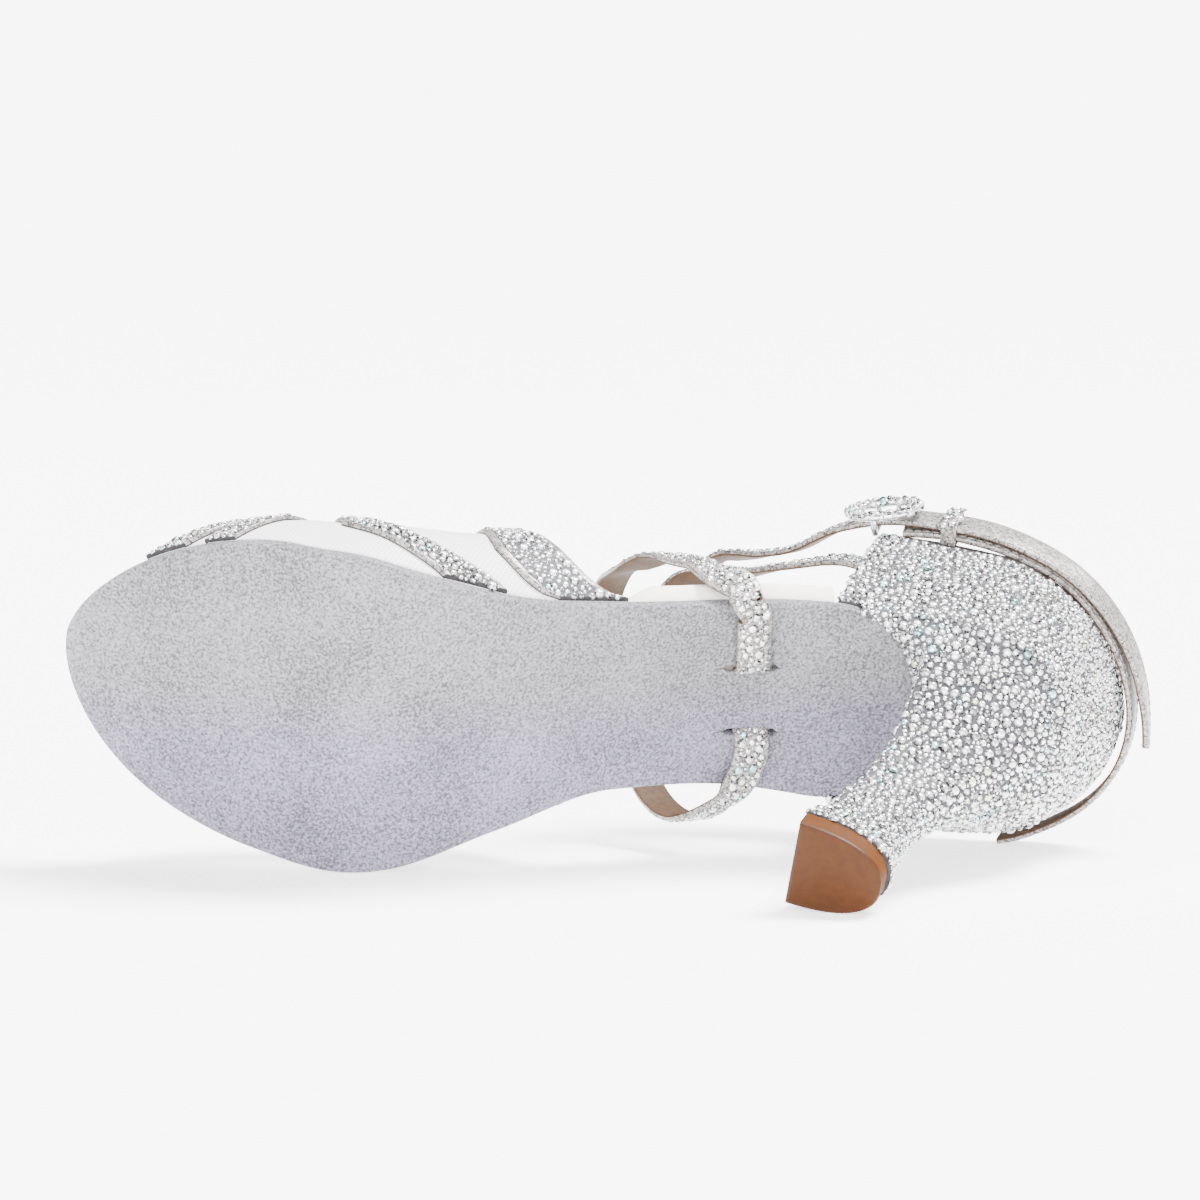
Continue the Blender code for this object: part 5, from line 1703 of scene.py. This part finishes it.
class SANDAL_OT_buckle(bpy.types.Operator):
    """Oval buckle with its bar and stones, and the keeper."""

    bl_idname = "sandal.buckle"
    bl_label = "Buckle and keeper"

    def execute(self, context):
        ankle = ankle_path(ANKLE_STRAP)
        place = np.array(place_on(*ankle, BUCKLE_AT, STRAP_THICKNESS / 2 + 2 * GAP))
        oval, bar, face = buckle_bodies(place)
        finish(oval, ROUND, "bright_metal", "buckle_frame")
        finish(bar, ROUND, "bright_metal")
        below = place[:3, 3] - 30 * MM * place[:3, 2]
        stones_on("buckle_stones", "bright_metal", [sampled(face, "buckle", below)])
        keeper, face = keeper_body(np.array(place_on(*ankle, KEEPER_AT, STRAP_THICKNESS / 2)))
        finish(keeper, 0.7, "lining_leather", "keeper_loop")
        stones_on("keeper_stones", "studded_fabric", [sampled(face, "keeper", below)])
        return {"FINISHED"}


def white_studio(around, behind, beside):
    """World that is white all round, brighter behind the shoe and dimmer beside its heel."""
    world = bpy.data.worlds.new("white_studio")
    world.use_nodes = True
    backdrop = world.node_tree.nodes["Background"]
    add = adder(world.node_tree)
    parts = add("ShaderNodeSeparateXYZ", [], [(0, add("ShaderNodeTexCoord").outputs["Generated"])])
    powers = []
    for axis, start, end, low, high in (("Y", 0.5, 0.9, around, behind), ("X", 0.15, 0.75, 1.0, beside)):
        span = [("From Min", start), ("From Max", end), ("To Min", low), ("To Max", high)]
        powers.append(add("ShaderNodeMapRange", span, [("Value", parts.outputs[axis])]).outputs[0])
    both = add("ShaderNodeMath", [], enumerate(powers), operation="MULTIPLY")
    backdrop.inputs["Color"].default_value = WHITE
    world.node_tree.links.new(both.outputs[0], backdrop.inputs["Strength"])
    return world


def put(name, data, matrix=None):
    """Object of the stage, linked to the scene."""
    thing = bpy.data.objects.new(name, data)
    if matrix is not None:
        thing.matrix_world = matrix
    bpy.context.scene.collection.objects.link(thing)
    return thing


def studio_lights():
    """A broad light from above and small lamps that wake the stones, all aimed at the shoe."""
    sun = bpy.data.lights.new("broad_top", "SUN")
    sun.energy, sun.angle = SUN_POWER, SUN_ANGLE
    lights = [put("broad_top", sun, Vector(SUN_FROM).to_track_quat("Z", "Y").to_matrix().to_4x4())]
    for name, place, power, width in SMALL_LIGHTS:
        lamp = bpy.data.lights.new(name, "AREA")
        lamp.energy, lamp.size = power, width
        aim = (-Vector(place)).to_track_quat("-Z", "Y").to_matrix().to_4x4()
        lights.append(put(name, lamp, Matrix.Translation(place) @ aim))
    return lights


class SANDAL_OT_stage(bpy.types.Operator):
    """Pale floor, soft lights and the camera."""

    bl_idname = "sandal.stage"
    bl_label = "Stage and camera"

    def execute(self, context):
        plane = bpy.data.meshes.new("pale_floor")
        corners = [(FLOOR_REACH * x, FLOOR_REACH * y, 0) for x, y in ((-1, -1), (1, -1), (1, 1), (-1, 1))]
        plane.from_pydata(corners, [], [(0, 1, 2, 3)])
        plane.materials.append(look("pale_floor"))
        staged = [put("pale_floor", plane), *studio_lights()]
        context.scene.world = white_studio(*STUDIO)
        eye = bpy.data.cameras.new("photo_camera")
        eye.lens, eye.sensor_width = CAMERA_LENS, CAMERA_SENSOR
        eye.clip_start, eye.clip_end = CAMERA_NEAR, CAMERA_FAR
        axes = LAID @ CAMERA_AXES.T
        rows = [[*axis, place] for axis, place in zip(axes, lay(CAMERA_PLACE))]
        camera = put("photo_camera", eye, Matrix(rows + [[0, 0, 0, 1]]))
        context.scene.camera = camera
        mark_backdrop(*staged, camera)
        return {"FINISHED"}


class SANDAL_PT_panel(bpy.types.Panel):
    """Sizes, colours and one button for each piece."""

    bl_label = "Dance sandal"
    bl_idname = "SANDAL_PT_panel"
    bl_space_type = "VIEW_3D"
    bl_region_type = "UI"
    bl_category = "Dance sandal"

    def draw(self, context):
        for group in (context.scene.sandal_sizes, context.scene.sandal_colours):
            for key in group.__annotations__:
                self.layout.prop(group, key)
        for kind in OPERATORS:
            self.layout.operator(kind.bl_idname)


OPERATORS = (
    SANDAL_OT_sole, SANDAL_OT_heel, SANDAL_OT_counter, SANDAL_OT_vamp, SANDAL_OT_straps, SANDAL_OT_buckle,
    SANDAL_OT_stage,
)


def register():
    """Registers the classes and gives the scene its sizes and colours."""
    for kind in (SandalSizes, SandalColours, *OPERATORS, SANDAL_PT_panel):
        bpy.utils.register_class(kind)
    bpy.types.Scene.sandal_sizes = bpy.props.PointerProperty(type=SandalSizes)
    bpy.types.Scene.sandal_colours = bpy.props.PointerProperty(type=SandalColours)


def unregister():
    """Takes back what register gave."""
    del bpy.types.Scene.sandal_colours
    del bpy.types.Scene.sandal_sizes
    for kind in (SANDAL_PT_panel, *reversed(OPERATORS), SandalColours, SandalSizes):
        bpy.utils.unregister_class(kind)


def main():
    """Registers the classes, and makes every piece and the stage."""
    register()
    bpy.ops.sandal.sole()
    bpy.ops.sandal.heel()
    bpy.ops.sandal.counter()
    bpy.ops.sandal.vamp()
    bpy.ops.sandal.straps()
    bpy.ops.sandal.buckle()
    bpy.ops.sandal.stage()
    boxes = {"cad": cad_box, "visual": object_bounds()}
    {name: [[float(v) for v in corner] for corner in box] for name, box in boxes.items()}


if __name__ == "__main__":
    main()
